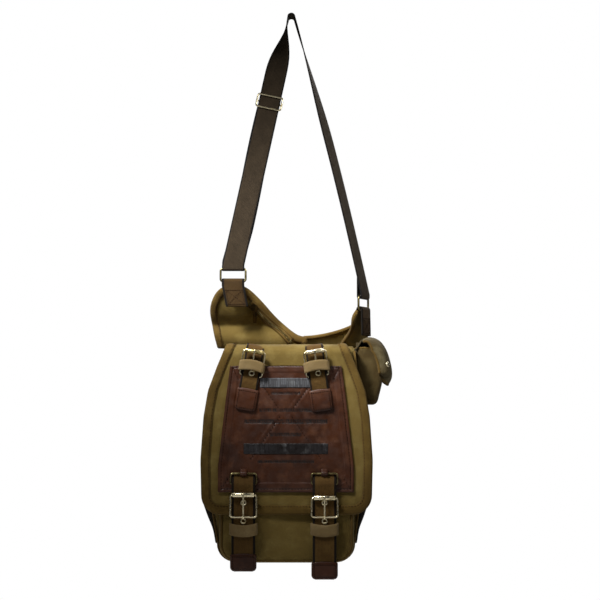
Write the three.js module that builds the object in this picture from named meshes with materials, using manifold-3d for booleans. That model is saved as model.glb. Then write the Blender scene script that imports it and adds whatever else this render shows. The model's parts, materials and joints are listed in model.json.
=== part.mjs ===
// A canvas sling camera bag, hanging from its shoulder strap.
// Millimetres, +Z up, +X to the wearer-side right of the front, -Y out of the front face.
// The origin is the point where the strap rests on whatever holds it.
import * as THREE from 'three';
import { mergeVertices } from 'three/addons/utils/BufferGeometryUtils.js';
import Module from 'manifold-3d';

const wasm = await Module();
wasm.setup();

// Driving dimensions
const GAP = 0.3;            // clearance between pieces that touch

const WEB_WIDTH = 31;       // shoulder webbing
const WEB_THICK = 1.6;
const STRAP_RADIUS = 5;     // bend of the strap over its hook
const RING_WIRE = 3.2;      // square side of the ring wire
const RING_HEIGHT = 22;
const LEFT_RING = new THREE.Vector3(-84, 0, -390);    // middle of the lower bar
const RIGHT_RING = new THREE.Vector3(104, 0, -431);
const RIGHT_TURN = 65 * Math.PI / 180;                // the right ring faces sideways

const BODY_X = -8;          // middle of the body
const BODY_TOP = -488;
const BODY_BOTTOM = -787;
const BODY_FRONT = -31;
const BODY_BACK = 48.3;
const PANEL = 3;            // padded canvas wall
const BODY_CORNER = 25;
const SEAM_Z = -484;        // seam between the back panel and the wings
const WING_LEAN = 0.5;      // how far the wings come forward per unit of height
const WING_THICK = 4;

const POCKET_X = -6;        // front pocket
const POCKET_HALF = 93;
const POCKET_TOP = -570;
const POCKET_FRONT = -59.5;
const CLOTH = 2.5;          // single canvas wall

const FLAP_X = -6;
const FLAP_TOP = -484;
const FLAP_BOTTOM = -718;
const FLAP_BACK = -60;
const FLAP_THICK = 4;
const BINDING = 12;
const PATCH_TOP = -512;
const PATCH_BOTTOM = -688;
const LEATHER = 2;
const PATCH_X = -7;
const STRAP_HOLDER_TURN = Math.PI / 2;                // the strap lies front to back over its hook

const FOLD_HEIGHT = 30;     // free end of the right fold above its bar
const FOLD_LEAN = 0.02;     // how far that end leans in per unit of height
const STRAIGHT = 4;         // straight part beside a ring before the bend begins
const TUCK = 10;            // left fold: how far it runs up behind the ring
const TWIST_SHARE = 0.17;   // share of the left run in which the strap turns to the front
const SLIDER_SHARE = 0.66;  // place of the slider along the left run
const RETURN_BEND = 0.12;   // where the doubled layer meets the front layer
const SLIDER_WIRE = 2.6;
const SLIDER_HEIGHT = 21;
const TAB_EASE = 0.8;       // slack of a sewn tab round its ring
const LEFT_TAB_DROP = 36;
const RIGHT_TAB_DROP = 33;

const LID_LEFT = -100;
const LID_RIGHT = 54;
const FOAM = 6;
const INSERT_TOP = -520;
const INSERT_BEND = -620;   // height where the body's sides begin to close in
const DIVIDER_TOP = -545;
const DIVIDER_OFFSET = 34;
const POCKET_BOTTOM = -785;
const SIDE_POCKET_TOP = -640;
const SIDE_POCKET_BOTTOM = -762;
const SIDE_POCKET_DEPTH = 11;
const SNAP_PLACE = new THREE.Vector3(145.4, -1, -521);
const SNAP_LEAN = -0.13;
const ZIP_CLOTH = 1.4;
const ZIP_SLIDER_DEPTH = 3;
const ZIP_PARKED = 12;      // slider's distance from the upper end of the zip

const materials = {
  canvas: new THREE.MeshStandardMaterial({ color: 0x6f6039, roughness: 0.95, metalness: 0 }),
  binding: new THREE.MeshStandardMaterial({ color: 0x5a4728, roughness: 0.9, metalness: 0 }),
  webbing: new THREE.MeshStandardMaterial({ color: 0x594632, roughness: 0.9, metalness: 0 }),
  leather: new THREE.MeshStandardMaterial({ color: 0x50342a, roughness: 0.5, metalness: 0 }),
  brass: new THREE.MeshStandardMaterial({ color: 0xb9a76a, roughness: 0.35, metalness: 1 }),
  mesh_cloth: new THREE.MeshStandardMaterial({ color: 0x17140e, roughness: 0.95, metalness: 0 }),
  foam: new THREE.MeshStandardMaterial({ color: 0x2a2824, roughness: 0.95, metalness: 0 }),
  board: new THREE.MeshStandardMaterial({ color: 0x1e1e1e, roughness: 0.8, metalness: 0 }),
};

const bag = new THREE.Group();

// Adds one finished piece to the group.
function piece(name, geometry, material) {
  const mesh = new THREE.Mesh(geometry, materials[material]);
  mesh.name = name;
  bag.add(mesh);
  return mesh;
}

// Booleans
function toSolid(geometry) {
  const bare = geometry.index ? geometry.toNonIndexed() : geometry.clone();
  bare.deleteAttribute('normal');
  bare.deleteAttribute('uv');
  const merged = mergeVertices(bare, 1e-4);
  return new wasm.Manifold(new wasm.Mesh({
    numProp: 3,
    vertProperties: new Float32Array(merged.attributes.position.array),
    triVerts: new Uint32Array(merged.index.array),
  }));
}

function toGeometry(solid) {
  const mesh = solid.getMesh();
  const geometry = new THREE.BufferGeometry();
  geometry.setAttribute('position', new THREE.BufferAttribute(mesh.vertProperties, 3));
  geometry.setIndex(new THREE.BufferAttribute(mesh.triVerts, 1));
  geometry.computeVertexNormals();
  return geometry;
}

// Shapes
function outline(points) {
  const corners = points.map(([u, v]) => new THREE.Vector2(u, v));
  if (THREE.ShapeUtils.isClockWise(corners)) corners.reverse();
  return new THREE.Shape(corners);
}

// A plate whose outline is drawn in X and Z, from yFront back to yBack.
function plateY(shape, yFront, yBack) {
  const geometry = new THREE.ExtrudeGeometry(shape, {
    depth: yBack - yFront, bevelEnabled: false, curveSegments: 5,
  });
  geometry.rotateX(Math.PI / 2);
  geometry.translate(0, yBack, 0);
  return geometry;
}

// A bar whose section is drawn in Y and Z, centred on x and `width` long.
function barX(shape, x, width) {
  const geometry = new THREE.ExtrudeGeometry(shape, {
    depth: width, bevelEnabled: false, curveSegments: 8,
  });
  const swap = new THREE.Matrix4().set(0, 0, 1, 0, 1, 0, 0, 0, 0, 1, 0, 0, 0, 0, 0, 1);
  geometry.applyMatrix4(swap);
  geometry.translate(x - width / 2, 0, 0);
  return geometry;
}

function box(x0, x1, y0, y1, z0, z1) {
  const geometry = new THREE.BoxGeometry(x1 - x0, y1 - y0, z1 - z0);
  geometry.translate((x0 + x1) / 2, (y0 + y1) / 2, (z0 + z1) / 2);
  return geometry;
}

// A rectangular wire loop in the X-Z plane, its lower bar's middle at the origin.
function wireLoop(width, height, wire) {
  const half = wire / 2;
  const inside = width / 2 - wire;
  const top = height - wire * 1.5;
  const shape = outline([
    [-width / 2, -half], [width / 2, -half],
    [width / 2, top + wire], [-width / 2, top + wire],
  ]);
  shape.holes.push(new THREE.Path([
    new THREE.Vector2(-inside, half), new THREE.Vector2(inside, half),
    new THREE.Vector2(inside, top), new THREE.Vector2(-inside, top),
  ]));
  return plateY(shape, -half, half);
}

// A closed solid through four-cornered sections, faces pointing out.
function loft(sections) {
  const points = sections.flat();
  const last = (sections.length - 1) * 4;
  const faces = [0, 1, 2, 0, 2, 3, last, last + 2, last + 1, last, last + 3, last + 2];
  for (let i = 0; i < last; i += 4) {
    for (let j = 0; j < 4; j += 1) {
      const k = (j + 1) % 4;
      faces.push(i + j, i + 4 + j, i + 4 + k, i + j, i + 4 + k, i + k);
    }
  }
  let volume = 0;
  for (let i = 0; i < faces.length; i += 3) {
    const [a, b, c] = faces.slice(i, i + 3).map((n) => points[n]);
    volume += a.dot(b.clone().cross(c));
  }
  if (volume < 0) faces.reverse();
  const geometry = new THREE.BufferGeometry().setFromPoints(points);
  geometry.setIndex(faces);
  geometry.computeVertexNormals();
  return geometry;
}

// One four-cornered section of a flat strip.
function section(at, across, normal, width, thick) {
  const w = across.clone().multiplyScalar(width / 2);
  const n = normal.clone().multiplyScalar(thick / 2);
  return [
    at.clone().add(w).add(n), at.clone().sub(w).add(n),
    at.clone().sub(w).sub(n), at.clone().add(w).sub(n),
  ];
}

// A strip of webbing along `stations`: each has a middle, a width direction and a face normal.
function strip(stations, width, thick) {
  return loft(stations.map(({ at, across, normal }) => section(at, across, normal, width, thick)));
}

// Stations along a path in one plane: `across` stays fixed and the normal turns with the path.
function planarStations(points, across) {
  return points.map((at, i) => {
    const before = points[Math.max(i - 1, 0)];
    const after = points[Math.min(i + 1, points.length - 1)];
    const along = after.clone().sub(before).normalize();
    return { at, across, normal: across.clone().cross(along).normalize() };
  });
}

// Shoulder strap, hanging over its hook
function shoulderStrap() {
  const rise = RING_HEIGHT - RING_WIRE;
  const leftBar = LEFT_RING.clone().add(new THREE.Vector3(0, 0, rise));
  const rightBar = RIGHT_RING.clone().add(new THREE.Vector3(0, 0, rise));
  const loopRadius = RING_WIRE / Math.SQRT2 + GAP + WEB_THICK / 2;
  const stations = [];

  // Folded end round the right ring, then up to the hook with the width front to back.
  const rightAcross = new THREE.Vector3(Math.cos(RIGHT_TURN), Math.sin(RIGHT_TURN), 0);
  const rightOut = new THREE.Vector3(Math.sin(RIGHT_TURN), -Math.cos(RIGHT_TURN), 0);
  const up = new THREE.Vector3(0, 0, 1);
  const place = (bar, out, radius, angle) => bar.clone()
    .addScaledVector(out, radius * Math.cos(angle))
    .addScaledVector(up, radius * Math.sin(angle));
  const fold = [];
  for (const height of [FOLD_HEIGHT, FOLD_HEIGHT / 2, STRAIGHT]) {
    fold.push(rightBar.clone().addScaledVector(rightOut, -loopRadius + height * FOLD_LEAN)
      .addScaledVector(up, height));
  }
  const arcSteps = 8;
  for (let i = 0; i <= arcSteps; i += 1) {
    fold.push(place(rightBar, rightOut, loopRadius, Math.PI + Math.PI * i / arcSteps));
  }
  fold.push(rightBar.clone().addScaledVector(rightOut, loopRadius).addScaledVector(up, STRAIGHT));
  const arcEnd = fold[fold.length - 1];
  stations.push(...planarStations(fold, rightAcross));

  // Right run, the bend over the hook, and the left run, which turns to face the front.
  const hookRight = new THREE.Vector3(STRAP_RADIUS, 0, -STRAP_RADIUS);
  const hookLeft = new THREE.Vector3(-STRAP_RADIUS, 0, -STRAP_RADIUS);
  const turnAt = (turn) => ({
    across: new THREE.Vector3(Math.cos(turn), Math.sin(turn), 0),
    out: new THREE.Vector3(Math.sin(turn), -Math.cos(turn), 0),
  });
  const rightSteps = 10;
  for (let i = 1; i <= rightSteps; i += 1) {
    const t = i / rightSteps;
    const ease = t * t * (3 - 2 * t);
    const at = arcEnd.clone().lerp(hookRight, t);
    const { across, out } = turnAt(RIGHT_TURN + (STRAP_HOLDER_TURN - RIGHT_TURN) * ease);
    stations.push({ at, across, normal: out });
  }
  const crownSteps = 6;
  for (let i = 1; i < crownSteps; i += 1) {
    const angle = Math.PI * i / crownSteps;
    const normal = new THREE.Vector3(Math.cos(angle), 0, Math.sin(angle));
    const at = new THREE.Vector3(0, 0, -STRAP_RADIUS).addScaledVector(normal, STRAP_RADIUS);
    stations.push({ at, across: new THREE.Vector3(0, 1, 0), normal });
  }
  const leftFront = leftBar.clone().add(new THREE.Vector3(0, -loopRadius, STRAIGHT));
  const leftSteps = 24;
  for (let i = 0; i <= leftSteps; i += 1) {
    const t = i / leftSteps;
    const at = hookLeft.clone().lerp(leftFront, t);
    const twist = Math.min(t / TWIST_SHARE, 1);
    const ease = twist * twist * (3 - 2 * twist);
    const angle = STRAP_HOLDER_TURN * (1 - ease);
    const across = new THREE.Vector3(Math.cos(angle), Math.sin(angle), 0);
    const normal = new THREE.Vector3(-Math.sin(angle), -Math.cos(angle), 0);
    const opposite = new THREE.Vector3(-across.x, across.y, 0);
    stations.push({ at, across: opposite, normal });
  }

  // Round the left ring's upper bar and a little way up behind.
  const leftAcross = new THREE.Vector3(-1, 0, 0);
  const front = new THREE.Vector3(0, -1, 0);
  for (let i = 0; i <= arcSteps; i += 1) {
    const angle = -Math.PI * i / arcSteps;
    const at = place(leftBar, front, loopRadius, angle);
    const normal = at.clone().sub(leftBar).normalize();
    stations.push({ at, across: leftAcross, normal });
  }
  const behind = leftBar.clone().add(new THREE.Vector3(0, loopRadius, TUCK));
  stations.push({ at: behind, across: leftAcross, normal: new THREE.Vector3(0, 1, 0) });
  piece('shoulder_webbing', strip(stations, WEB_WIDTH, WEB_THICK), 'webbing');

  // The doubled-back layer from the ring up to the slider.
  const run = hookLeft.clone().sub(leftFront);
  const returnEnd = leftFront.clone().addScaledVector(run, SLIDER_SHARE - FOLD_LEAN);
  returnEnd.y += WEB_THICK + GAP * 2;
  const returnStart = behind.clone().add(new THREE.Vector3(0, 0, GAP));
  const returnMiddle = leftFront.clone().addScaledVector(run, RETURN_BEND);
  returnMiddle.y += WEB_THICK + GAP * 2;
  const returnLayer = [returnStart, returnMiddle, returnEnd].map((at) => ({
    at, across: leftAcross, normal: new THREE.Vector3(0, 1, 0),
  }));
  piece('strap_return', strip(returnLayer, WEB_WIDTH, WEB_THICK), 'webbing');

  // Slider: two bars in front, one behind, joined at the sides.
  const wire = SLIDER_WIRE;
  const middle = leftFront.clone().addScaledVector(run, SLIDER_SHARE);
  const direction = run.clone().normalize();
  const tilt = Math.atan2(direction.x, direction.z);
  const outer = WEB_WIDTH + 2 * wire + 3;
  const frameFront = -(WEB_THICK / 2 + GAP + wire / 2);
  const frameShape = wireLoop(outer, SLIDER_HEIGHT, wire);
  frameShape.translate(0, frameFront, -(SLIDER_HEIGHT / 2 - wire / 2));
  const barBack = WEB_THICK * 1.5 + GAP * 4 + wire / 2;
  let frameSolid = toSolid(frameShape);
  const cross = box(-outer / 2, outer / 2, barBack - wire / 2, barBack + wire / 2, -wire / 2, wire / 2);
  frameSolid = frameSolid.add(toSolid(cross));
  for (const side of [-1, 1]) {
    const x = side * (outer / 2 - wire / 2);
    const link = box(x - wire / 2, x + wire / 2, frameFront, barBack, -wire / 2, wire / 2);
    frameSolid = frameSolid.add(toSolid(link));
  }
  const frame = toGeometry(frameSolid);
  frame.rotateY(tilt);
  frame.translate(middle.x, middle.y, middle.z);
  piece('slider_frame', frame, 'brass');

  // Rings
  const leftRing = wireLoop(WEB_WIDTH + 2 * RING_WIRE + 2, RING_HEIGHT, RING_WIRE);
  leftRing.translate(LEFT_RING.x, LEFT_RING.y, LEFT_RING.z);
  piece('left_ring', leftRing, 'brass');
  const rightRing = wireLoop(WEB_WIDTH + 2 * RING_WIRE + 2, RING_HEIGHT, RING_WIRE);
  rightRing.rotateZ(RIGHT_TURN);
  rightRing.translate(RIGHT_RING.x, RIGHT_RING.y, RIGHT_RING.z);
  piece('right_ring', rightRing, 'brass');
}

// Moves every point forward in proportion to its height above the seam.
function leanForward(geometry) {
  const p = geometry.attributes.position;
  for (let i = 0; i < p.count; i += 1) {
    p.setY(i, p.getY(i) - WING_LEAN * Math.max(0, p.getZ(i) - SEAM_Z));
  }
  return geometry;
}

// A sewn tab: a loop round a ring's lower bar, then flat down a wing.
function tabStations(bar, across, out, drop) {
  const radius = RING_WIRE / Math.SQRT2 + GAP + WEB_THICK / 2 + TAB_EASE;
  const up = new THREE.Vector3(0, 0, 1);
  const points = [];
  const tail = (distance) => bar.clone().addScaledVector(out, radius).addScaledVector(up, -distance);
  points.push(tail(drop));
  points.push(tail(drop / 2));
  points.push(tail(3));
  const steps = 8;
  for (let i = 0; i <= steps; i += 1) {
    const angle = Math.PI * i / steps;
    points.push(bar.clone().addScaledVector(out, radius * Math.cos(angle))
      .addScaledVector(up, radius * Math.sin(angle)));
  }
  return planarStations(points, across);
}

function wings() {
  // Left wing: a tall padded ear whose inner edge slants down to the middle.
  const left = new THREE.Shape();
  left.moveTo(-112, SEAM_Z + GAP);
  left.lineTo(-115, -462);
  left.lineTo(-118, -432);
  left.quadraticCurveTo(-115, -405, -98, -397);
  left.lineTo(-70, -398);
  left.quadraticCurveTo(-56, -404, -44, -418);
  left.lineTo(-18, -446);
  left.lineTo(4, -466);
  left.lineTo(16, -474);
  left.lineTo(20, SEAM_Z + GAP);
  const leftWing = plateY(left, BODY_BACK - WING_THICK, BODY_BACK);
  piece('left_wing', leanForward(leftWing), 'canvas');

  // Right wing: a tongue that rises from the back corner and turns to face the side.
  const levels = [
    { z: SEAM_Z + GAP, width: 48, x: 78, y: 46.3, degrees: 0 },
    { z: -470, width: 48, x: 86, y: 36, degrees: 22 },
    { z: -456, width: 46, x: 96, y: 20, degrees: 45 },
    { z: -444, width: 42, x: 101, y: 9, degrees: 60 },
    { z: -437, width: 30, x: 103, y: 4, degrees: 65 },
  ];
  const sections = levels.map(({ z, width, x, y, degrees }) => {
    const turn = degrees * Math.PI / 180;
    const across = new THREE.Vector3(Math.cos(turn), Math.sin(turn), 0);
    const out = new THREE.Vector3(Math.sin(turn), -Math.cos(turn), 0);
    return section(new THREE.Vector3(x, y, z), across, out, width, WING_THICK);
  });
  piece('right_wing', loft(sections), 'canvas');

  // Tabs
  const leftAcross = new THREE.Vector3(1, 0, 0);
  const leftOut = new THREE.Vector3(0, -1, 0);
  const leftTab = tabStations(LEFT_RING, leftAcross, leftOut, LEFT_TAB_DROP);
  piece('left_tab', strip(leftTab, WEB_WIDTH, WEB_THICK), 'webbing');
  const rightAcross = new THREE.Vector3(Math.cos(RIGHT_TURN), Math.sin(RIGHT_TURN), 0);
  const rightOut = new THREE.Vector3(Math.sin(RIGHT_TURN), -Math.cos(RIGHT_TURN), 0);
  const rightTab = tabStations(RIGHT_RING, rightAcross, rightOut, RIGHT_TAB_DROP);
  piece('right_tab', strip(rightTab, WEB_WIDTH, WEB_THICK), 'webbing');
}

// Half the body's width at a height.
const sideProfile = [[98, BODY_TOP], [104, -560], [106, -620], [106, BODY_BOTTOM + BODY_CORNER]];

function gusset(side) {
  const outer = sideProfile.map(([half, z]) => [BODY_X + side * half, z]);
  const inner = sideProfile.map(([half, z]) => [BODY_X + side * (half - PANEL), z]).reverse();
  const corner = [];
  const innerCorner = [];
  const steps = 5;
  const centreX = sideProfile[3][0] - BODY_CORNER;
  const centreZ = BODY_BOTTOM + BODY_CORNER;
  for (let i = 1; i <= steps; i += 1) {
    const a = Math.PI / 2 * i / steps;
    const c = Math.cos(a);
    const s = Math.sin(a);
    corner.push([BODY_X + side * (centreX + BODY_CORNER * c), centreZ - BODY_CORNER * s]);
    innerCorner.unshift([
      BODY_X + side * (centreX + (BODY_CORNER - PANEL) * c), centreZ - (BODY_CORNER - PANEL) * s,
    ]);
  }
  const shape = outline([...outer, ...corner, ...innerCorner, ...inner]);
  return plateY(shape, BODY_FRONT + PANEL + GAP, BODY_BACK - PANEL - GAP);
}

// The body's outline seen from the front, up to a top edge.
function bodyOutline(topPoints) {
  const shape = new THREE.Shape();
  const low = sideProfile[3];
  const corner = BODY_CORNER;
  shape.moveTo(BODY_X - low[0], low[1]);
  shape.quadraticCurveTo(BODY_X - low[0], BODY_BOTTOM, BODY_X - low[0] + corner, BODY_BOTTOM);
  shape.lineTo(BODY_X + low[0] - corner, BODY_BOTTOM);
  shape.quadraticCurveTo(BODY_X + low[0], BODY_BOTTOM, BODY_X + low[0], low[1]);
  for (const i of [2, 1]) shape.lineTo(BODY_X + sideProfile[i][0], sideProfile[i][1]);
  for (const [x, z] of topPoints) shape.lineTo(x, z);
  for (const i of [1, 2]) shape.lineTo(BODY_X - sideProfile[i][0], sideProfile[i][1]);
  return shape;
}

function bodyShell() {
  const half = sideProfile[0][0];
  const backHalf = half + 6;
  piece('front_panel', plateY(bodyOutline([[BODY_X + half, BODY_TOP], [BODY_X - half, BODY_TOP]]),
    BODY_FRONT, BODY_FRONT + PANEL), 'canvas');
  piece('back_panel', plateY(bodyOutline([[BODY_X + backHalf, SEAM_Z], [BODY_X - backHalf, SEAM_Z]]),
    BODY_BACK - PANEL, BODY_BACK), 'canvas');
  piece('left_gusset', gusset(-1), 'canvas');
  piece('right_gusset', gusset(1), 'canvas');
  const floorHalf = sideProfile[3][0] - BODY_CORNER - GAP;
  piece('bottom_panel', box(BODY_X - floorHalf, BODY_X + floorHalf, BODY_FRONT + PANEL + GAP,
    BODY_BACK - PANEL - GAP, BODY_BOTTOM, BODY_BOTTOM + PANEL), 'canvas');

  // Top panel: the lid cloth from the front edge back to the ridge, hinged at the front.
  const top = outline([[-49, -487], [24, -480], [24, -477], [-49, -484]]);
  piece('top_panel', barX(top, (LID_LEFT + LID_RIGHT) / 2, LID_RIGHT - LID_LEFT), 'canvas');

  // Stiff base and padded insert
  const boardBottom = BODY_BOTTOM + PANEL + GAP;
  const boardTop = boardBottom + 2;
  const boardFront = BODY_FRONT + PANEL + 1;
  const boardBack = BODY_BACK - PANEL - 0.8;
  piece('base_board', box(BODY_X - floorHalf, BODY_X + floorHalf, boardFront, boardBack,
    boardBottom, boardTop), 'board');
  const insertHalf = sideProfile[3][0] - PANEL - 3;
  const insertBottom = BODY_BOTTOM + BODY_CORNER + 2;
  const frontFoam = BODY_FRONT + PANEL + GAP;
  const backFoam = BODY_BACK - PANEL - GAP;
  const topHalf = half - 2;
  const wall = outline([
    [BODY_X - insertHalf, insertBottom], [BODY_X + insertHalf, insertBottom],
    [BODY_X + insertHalf, INSERT_BEND], [BODY_X + topHalf, INSERT_TOP],
    [BODY_X - topHalf, INSERT_TOP], [BODY_X - insertHalf, INSERT_BEND],
  ]);
  piece('insert_front', plateY(wall, frontFoam + GAP, frontFoam + FOAM), 'foam');
  piece('insert_back', plateY(wall, backFoam - FOAM, backFoam - GAP), 'foam');
  for (const [name, side] of [['divider_left', -1], ['divider_right', 1]]) {
    const x = BODY_X + side * DIVIDER_OFFSET;
    piece(name, box(x - FOAM / 2, x + FOAM / 2, frontFoam + FOAM + GAP, backFoam - FOAM - GAP,
      boardTop + GAP, DIVIDER_TOP), 'foam');
  }
}

// Front pocket: a shallow tray open at the top, its back closed by the front panel.
function frontPocket() {
  const corner = 24;
  const beyond = 9;
  const round = (half, bottom, top, radius) => {
    const shape = new THREE.Shape();
    shape.moveTo(POCKET_X - half, bottom + radius);
    shape.quadraticCurveTo(POCKET_X - half, bottom, POCKET_X - half + radius, bottom);
    shape.lineTo(POCKET_X + half - radius, bottom);
    shape.quadraticCurveTo(POCKET_X + half, bottom, POCKET_X + half, bottom + radius);
    shape.lineTo(POCKET_X + half, top);
    shape.lineTo(POCKET_X - half, top);
    return shape;
  };
  const back = BODY_FRONT - GAP;
  const wall = round(POCKET_HALF, POCKET_BOTTOM, POCKET_TOP, corner);
  const outside = toSolid(plateY(wall, POCKET_FRONT, back));
  const room = round(POCKET_HALF - CLOTH, POCKET_BOTTOM + CLOTH, POCKET_TOP + beyond, corner - 2);
  const inside = toSolid(plateY(room, POCKET_FRONT + CLOTH, back + beyond));
  piece('front_pocket', toGeometry(outside.subtract(inside)), 'canvas');
}

// Side pockets: flat trays on the gussets, open at the top.
function sidePockets() {
  const front = -22;
  const back = 36;
  const bend = -690;
  for (const [name, side] of [['left_side_pocket', -1], ['right_side_pocket', 1]]) {
    const near = BODY_X + side * (sideProfile[3][0] + GAP);
    const far = near + side * SIDE_POCKET_DEPTH;
    const section = (inset, top, bottomIn) => outline([
      [near - side * inset, top], [far - side * inset * 0.2, top],
      [far - side * inset * 0.2, bend], [near + side * (4 - inset * 0.2), bottomIn],
      [near - side * inset, bottomIn],
    ]);
    const outside = toSolid(plateY(section(0, SIDE_POCKET_TOP, SIDE_POCKET_BOTTOM), front, back));
    const room = section(8, SIDE_POCKET_TOP + 10, SIDE_POCKET_BOTTOM + 4);
    const hollow = toSolid(plateY(room, front + 2, back - 2));
    piece(name, toGeometry(outside.subtract(hollow)), 'mesh_cloth');
  }
}

// Accessory pocket on the right side, with a flap that folds over its mouth.
function accessoryPocket() {
  const right = outline([[91.2, -487], [124, -487], [130, -535], [127, -567], [97.4, -567]]);
  const hollow = outline([[93.8, -480], [121.5, -480], [127.4, -535], [124.8, -564.5], [99.8, -564.5]]);
  const outside = toSolid(plateY(right, -26, 24));
  const inside = toSolid(plateY(hollow, -23.5, 21.5));
  piece('accessory_pocket', toGeometry(outside.subtract(inside)), 'canvas');

  const flap = outline([
    [103, -474], [117, -472], [134, -484], [142, -510], [145, -532], [141, -537],
    [137.5, -532], [138, -511], [130.5, -487], [116, -475.5], [103, -477.5],
  ]);
  piece('accessory_flap', plateY(flap, -29, 27), 'canvas');
  const snap = new THREE.CylinderGeometry(5, 5, 2, 16);
  snap.rotateZ(Math.PI / 2);
  snap.rotateY(SNAP_LEAN);
  snap.translate(SNAP_PLACE.x, SNAP_PLACE.y, SNAP_PLACE.z);
  piece('accessory_snap', snap, 'brass');
}

// Zip along the slanted edge of the left wing.
const ZIP_START = new THREE.Vector2(-62, -419);
const ZIP_END = new THREE.Vector2(-2, -474);
const ZIP_WIDTH = 8;

function zip() {
  const along = ZIP_END.clone().sub(ZIP_START).normalize();
  const across = new THREE.Vector2(-along.y, along.x);
  const corner = (base, side) => {
    const p = base.clone().addScaledVector(across, side * ZIP_WIDTH / 2);
    return [p.x, p.y];
  };
  const tape = outline([
    corner(ZIP_START, -1), corner(ZIP_END, -1), corner(ZIP_END, 1), corner(ZIP_START, 1),
  ]);
  const front = BODY_BACK - WING_THICK - GAP;
  piece('zip_tape', leanForward(plateY(tape, front - ZIP_CLOTH, front)), 'binding');

  const at = ZIP_START.clone().addScaledVector(along, ZIP_PARKED);
  const slider = outline([[-3.5, -6], [3.5, -6], [4.5, 0], [3.5, 6], [-3.5, 6], [-4.5, 0]]);
  const turn = Math.atan2(along.y, along.x) + Math.PI / 2;
  const put = (geometry) => {
    geometry.rotateY(-turn);
    geometry.translate(at.x, 0, at.y);
    return leanForward(geometry);
  };
  const sliderFront = front - ZIP_CLOTH - GAP - ZIP_SLIDER_DEPTH;
  piece('zip_slider', put(plateY(slider, sliderFront, sliderFront + ZIP_SLIDER_DEPTH)), 'brass');
  const pull = outline([[-2.5, -22], [2.5, -22], [3, -4], [-3, -4]]);
  const pullGeometry = plateY(pull, sliderFront - GAP - ZIP_CLOTH, sliderFront - GAP);
  pullGeometry.translate(at.x, 0, at.y);
  piece('zip_pull', leanForward(pullGeometry), 'brass');
}

// Flap
const flapProfile = [[85, FLAP_TOP], [110, -548], [117, -611], [118.5, -658]];

function flapShape(inset) {
  const shape = new THREE.Shape();
  const corner = 24;
  const bottom = FLAP_BOTTOM + inset;
  const low = flapProfile[3][0] - inset;
  shape.moveTo(FLAP_X - low, bottom + corner);
  shape.quadraticCurveTo(FLAP_X - low, bottom, FLAP_X - low + corner, bottom);
  shape.lineTo(FLAP_X + low - corner, bottom);
  shape.quadraticCurveTo(FLAP_X + low, bottom, FLAP_X + low, bottom + corner);
  for (const i of [3, 2, 1, 0]) shape.lineTo(FLAP_X + flapProfile[i][0] - inset, flapProfile[i][1]);
  for (const i of [0, 1, 2, 3]) shape.lineTo(FLAP_X - flapProfile[i][0] + inset, flapProfile[i][1]);
  return shape;
}

const RING_BAR_Y = -70.6;
const LOOP_HOLE = 2.1;
const LOOP_OUT = 3.6;

// A loop section round a bar at (y, z), with a foot that runs down or back.
function loopShape(y, z, foot) {
  const shape = outline(foot);
  const sides = 12;
  const ring = [];
  for (let i = 0; i < sides; i += 1) {
    const angle = -2 * Math.PI * i / sides;
    ring.push(new THREE.Vector2(y + LOOP_HOLE * Math.cos(angle), z + LOOP_HOLE * Math.sin(angle)));
  }
  shape.holes.push(new THREE.Path(ring));
  return shape;
}

function flap() {
  const back = FLAP_BACK;
  const front = back - FLAP_THICK;
  piece('flap_panel', plateY(flapShape(BINDING + GAP), front, back), 'canvas');
  const whole = toSolid(plateY(flapShape(0), front - 0.4, back + 0.2));
  const window = flapShape(BINDING);
  const cut = toSolid(plateY(window, front - 5, back + 5));
  const topHalf = flapProfile[0][0] - BINDING;
  const opened = toSolid(box(FLAP_X - topHalf, FLAP_X + topHalf, front - 5, back + 5,
    FLAP_TOP - 1, FLAP_TOP + 5));
  piece('flap_binding', toGeometry(whole.subtract(cut).subtract(opened)), 'binding');

  // Leather patch, with a loop for each lower ring
  const patchFront = front - GAP - LEATHER;
  const patchProfile = [[94, PATCH_BOTTOM], [84, -580], [77, PATCH_TOP]];
  const patch = outline([
    ...patchProfile.map(([half, z]) => [PATCH_X + half, z]),
    ...patchProfile.map(([half, z]) => [PATCH_X - half, z]).reverse(),
  ]);
  let leather = toSolid(plateY(patch, patchFront, front - GAP));
  for (const { x, ringTop } of LOWER) {
    const loop = loopShape(RING_BAR_Y, ringTop, [
      [RING_BAR_Y - 2.6, ringTop + LOOP_OUT], [patchFront + 0.5, ringTop + LOOP_OUT + 1],
      [patchFront + 0.5, ringTop - LOOP_OUT - 1], [RING_BAR_Y - 2.6, ringTop - LOOP_OUT],
      [RING_BAR_Y - LOOP_OUT, ringTop],
    ]);
    leather = leather.add(toSolid(barX(loop, x, 16)));
  }
  piece('leather_patch', toGeometry(leather), 'leather');
}

const PRONG_WIDTH = 2.6;

// A leather strap end with two cut corners.
function tipOutline(x, half, low, high) {
  return outline([
    [x - half, low + 3], [x - half + 3, low], [x + half - 3, low], [x + half, low + 3],
    [x + half, high], [x - half, high],
  ]);
}

// One prong: a hook round the frame's lower bar and a finger up to the roller.
function prong(x, barY, barZ, rollerZ, rollerOut) {
  const reach = rollerZ - barZ + 3;
  const lift = rollerOut + GAP;
  const shape = outline([
    [barY + 3.3, barZ - 1.5], [barY + 1.8, barZ - 3.3], [barY - 1.8, barZ - 3.3],
    [barY - 3.6, barZ - 1.5], [barY - 3.6, barZ + 3],
    [barY - lift - 1.8, barZ + reach - 4], [barY - lift - 1.8, barZ + reach],
    [barY - lift, barZ + reach], [barY - lift, barZ + reach - 4], [barY - 2, barZ + 1.8],
    [barY - 2, barZ - 0.8], [barY - 1, barZ - 2], [barY + 1, barZ - 2], [barY + 2, barZ - 0.8],
    [barY + 2, barZ + 1], [barY + 3.3, barZ + 1],
  ]);
  return barX(shape, x, PRONG_WIDTH);
}

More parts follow.
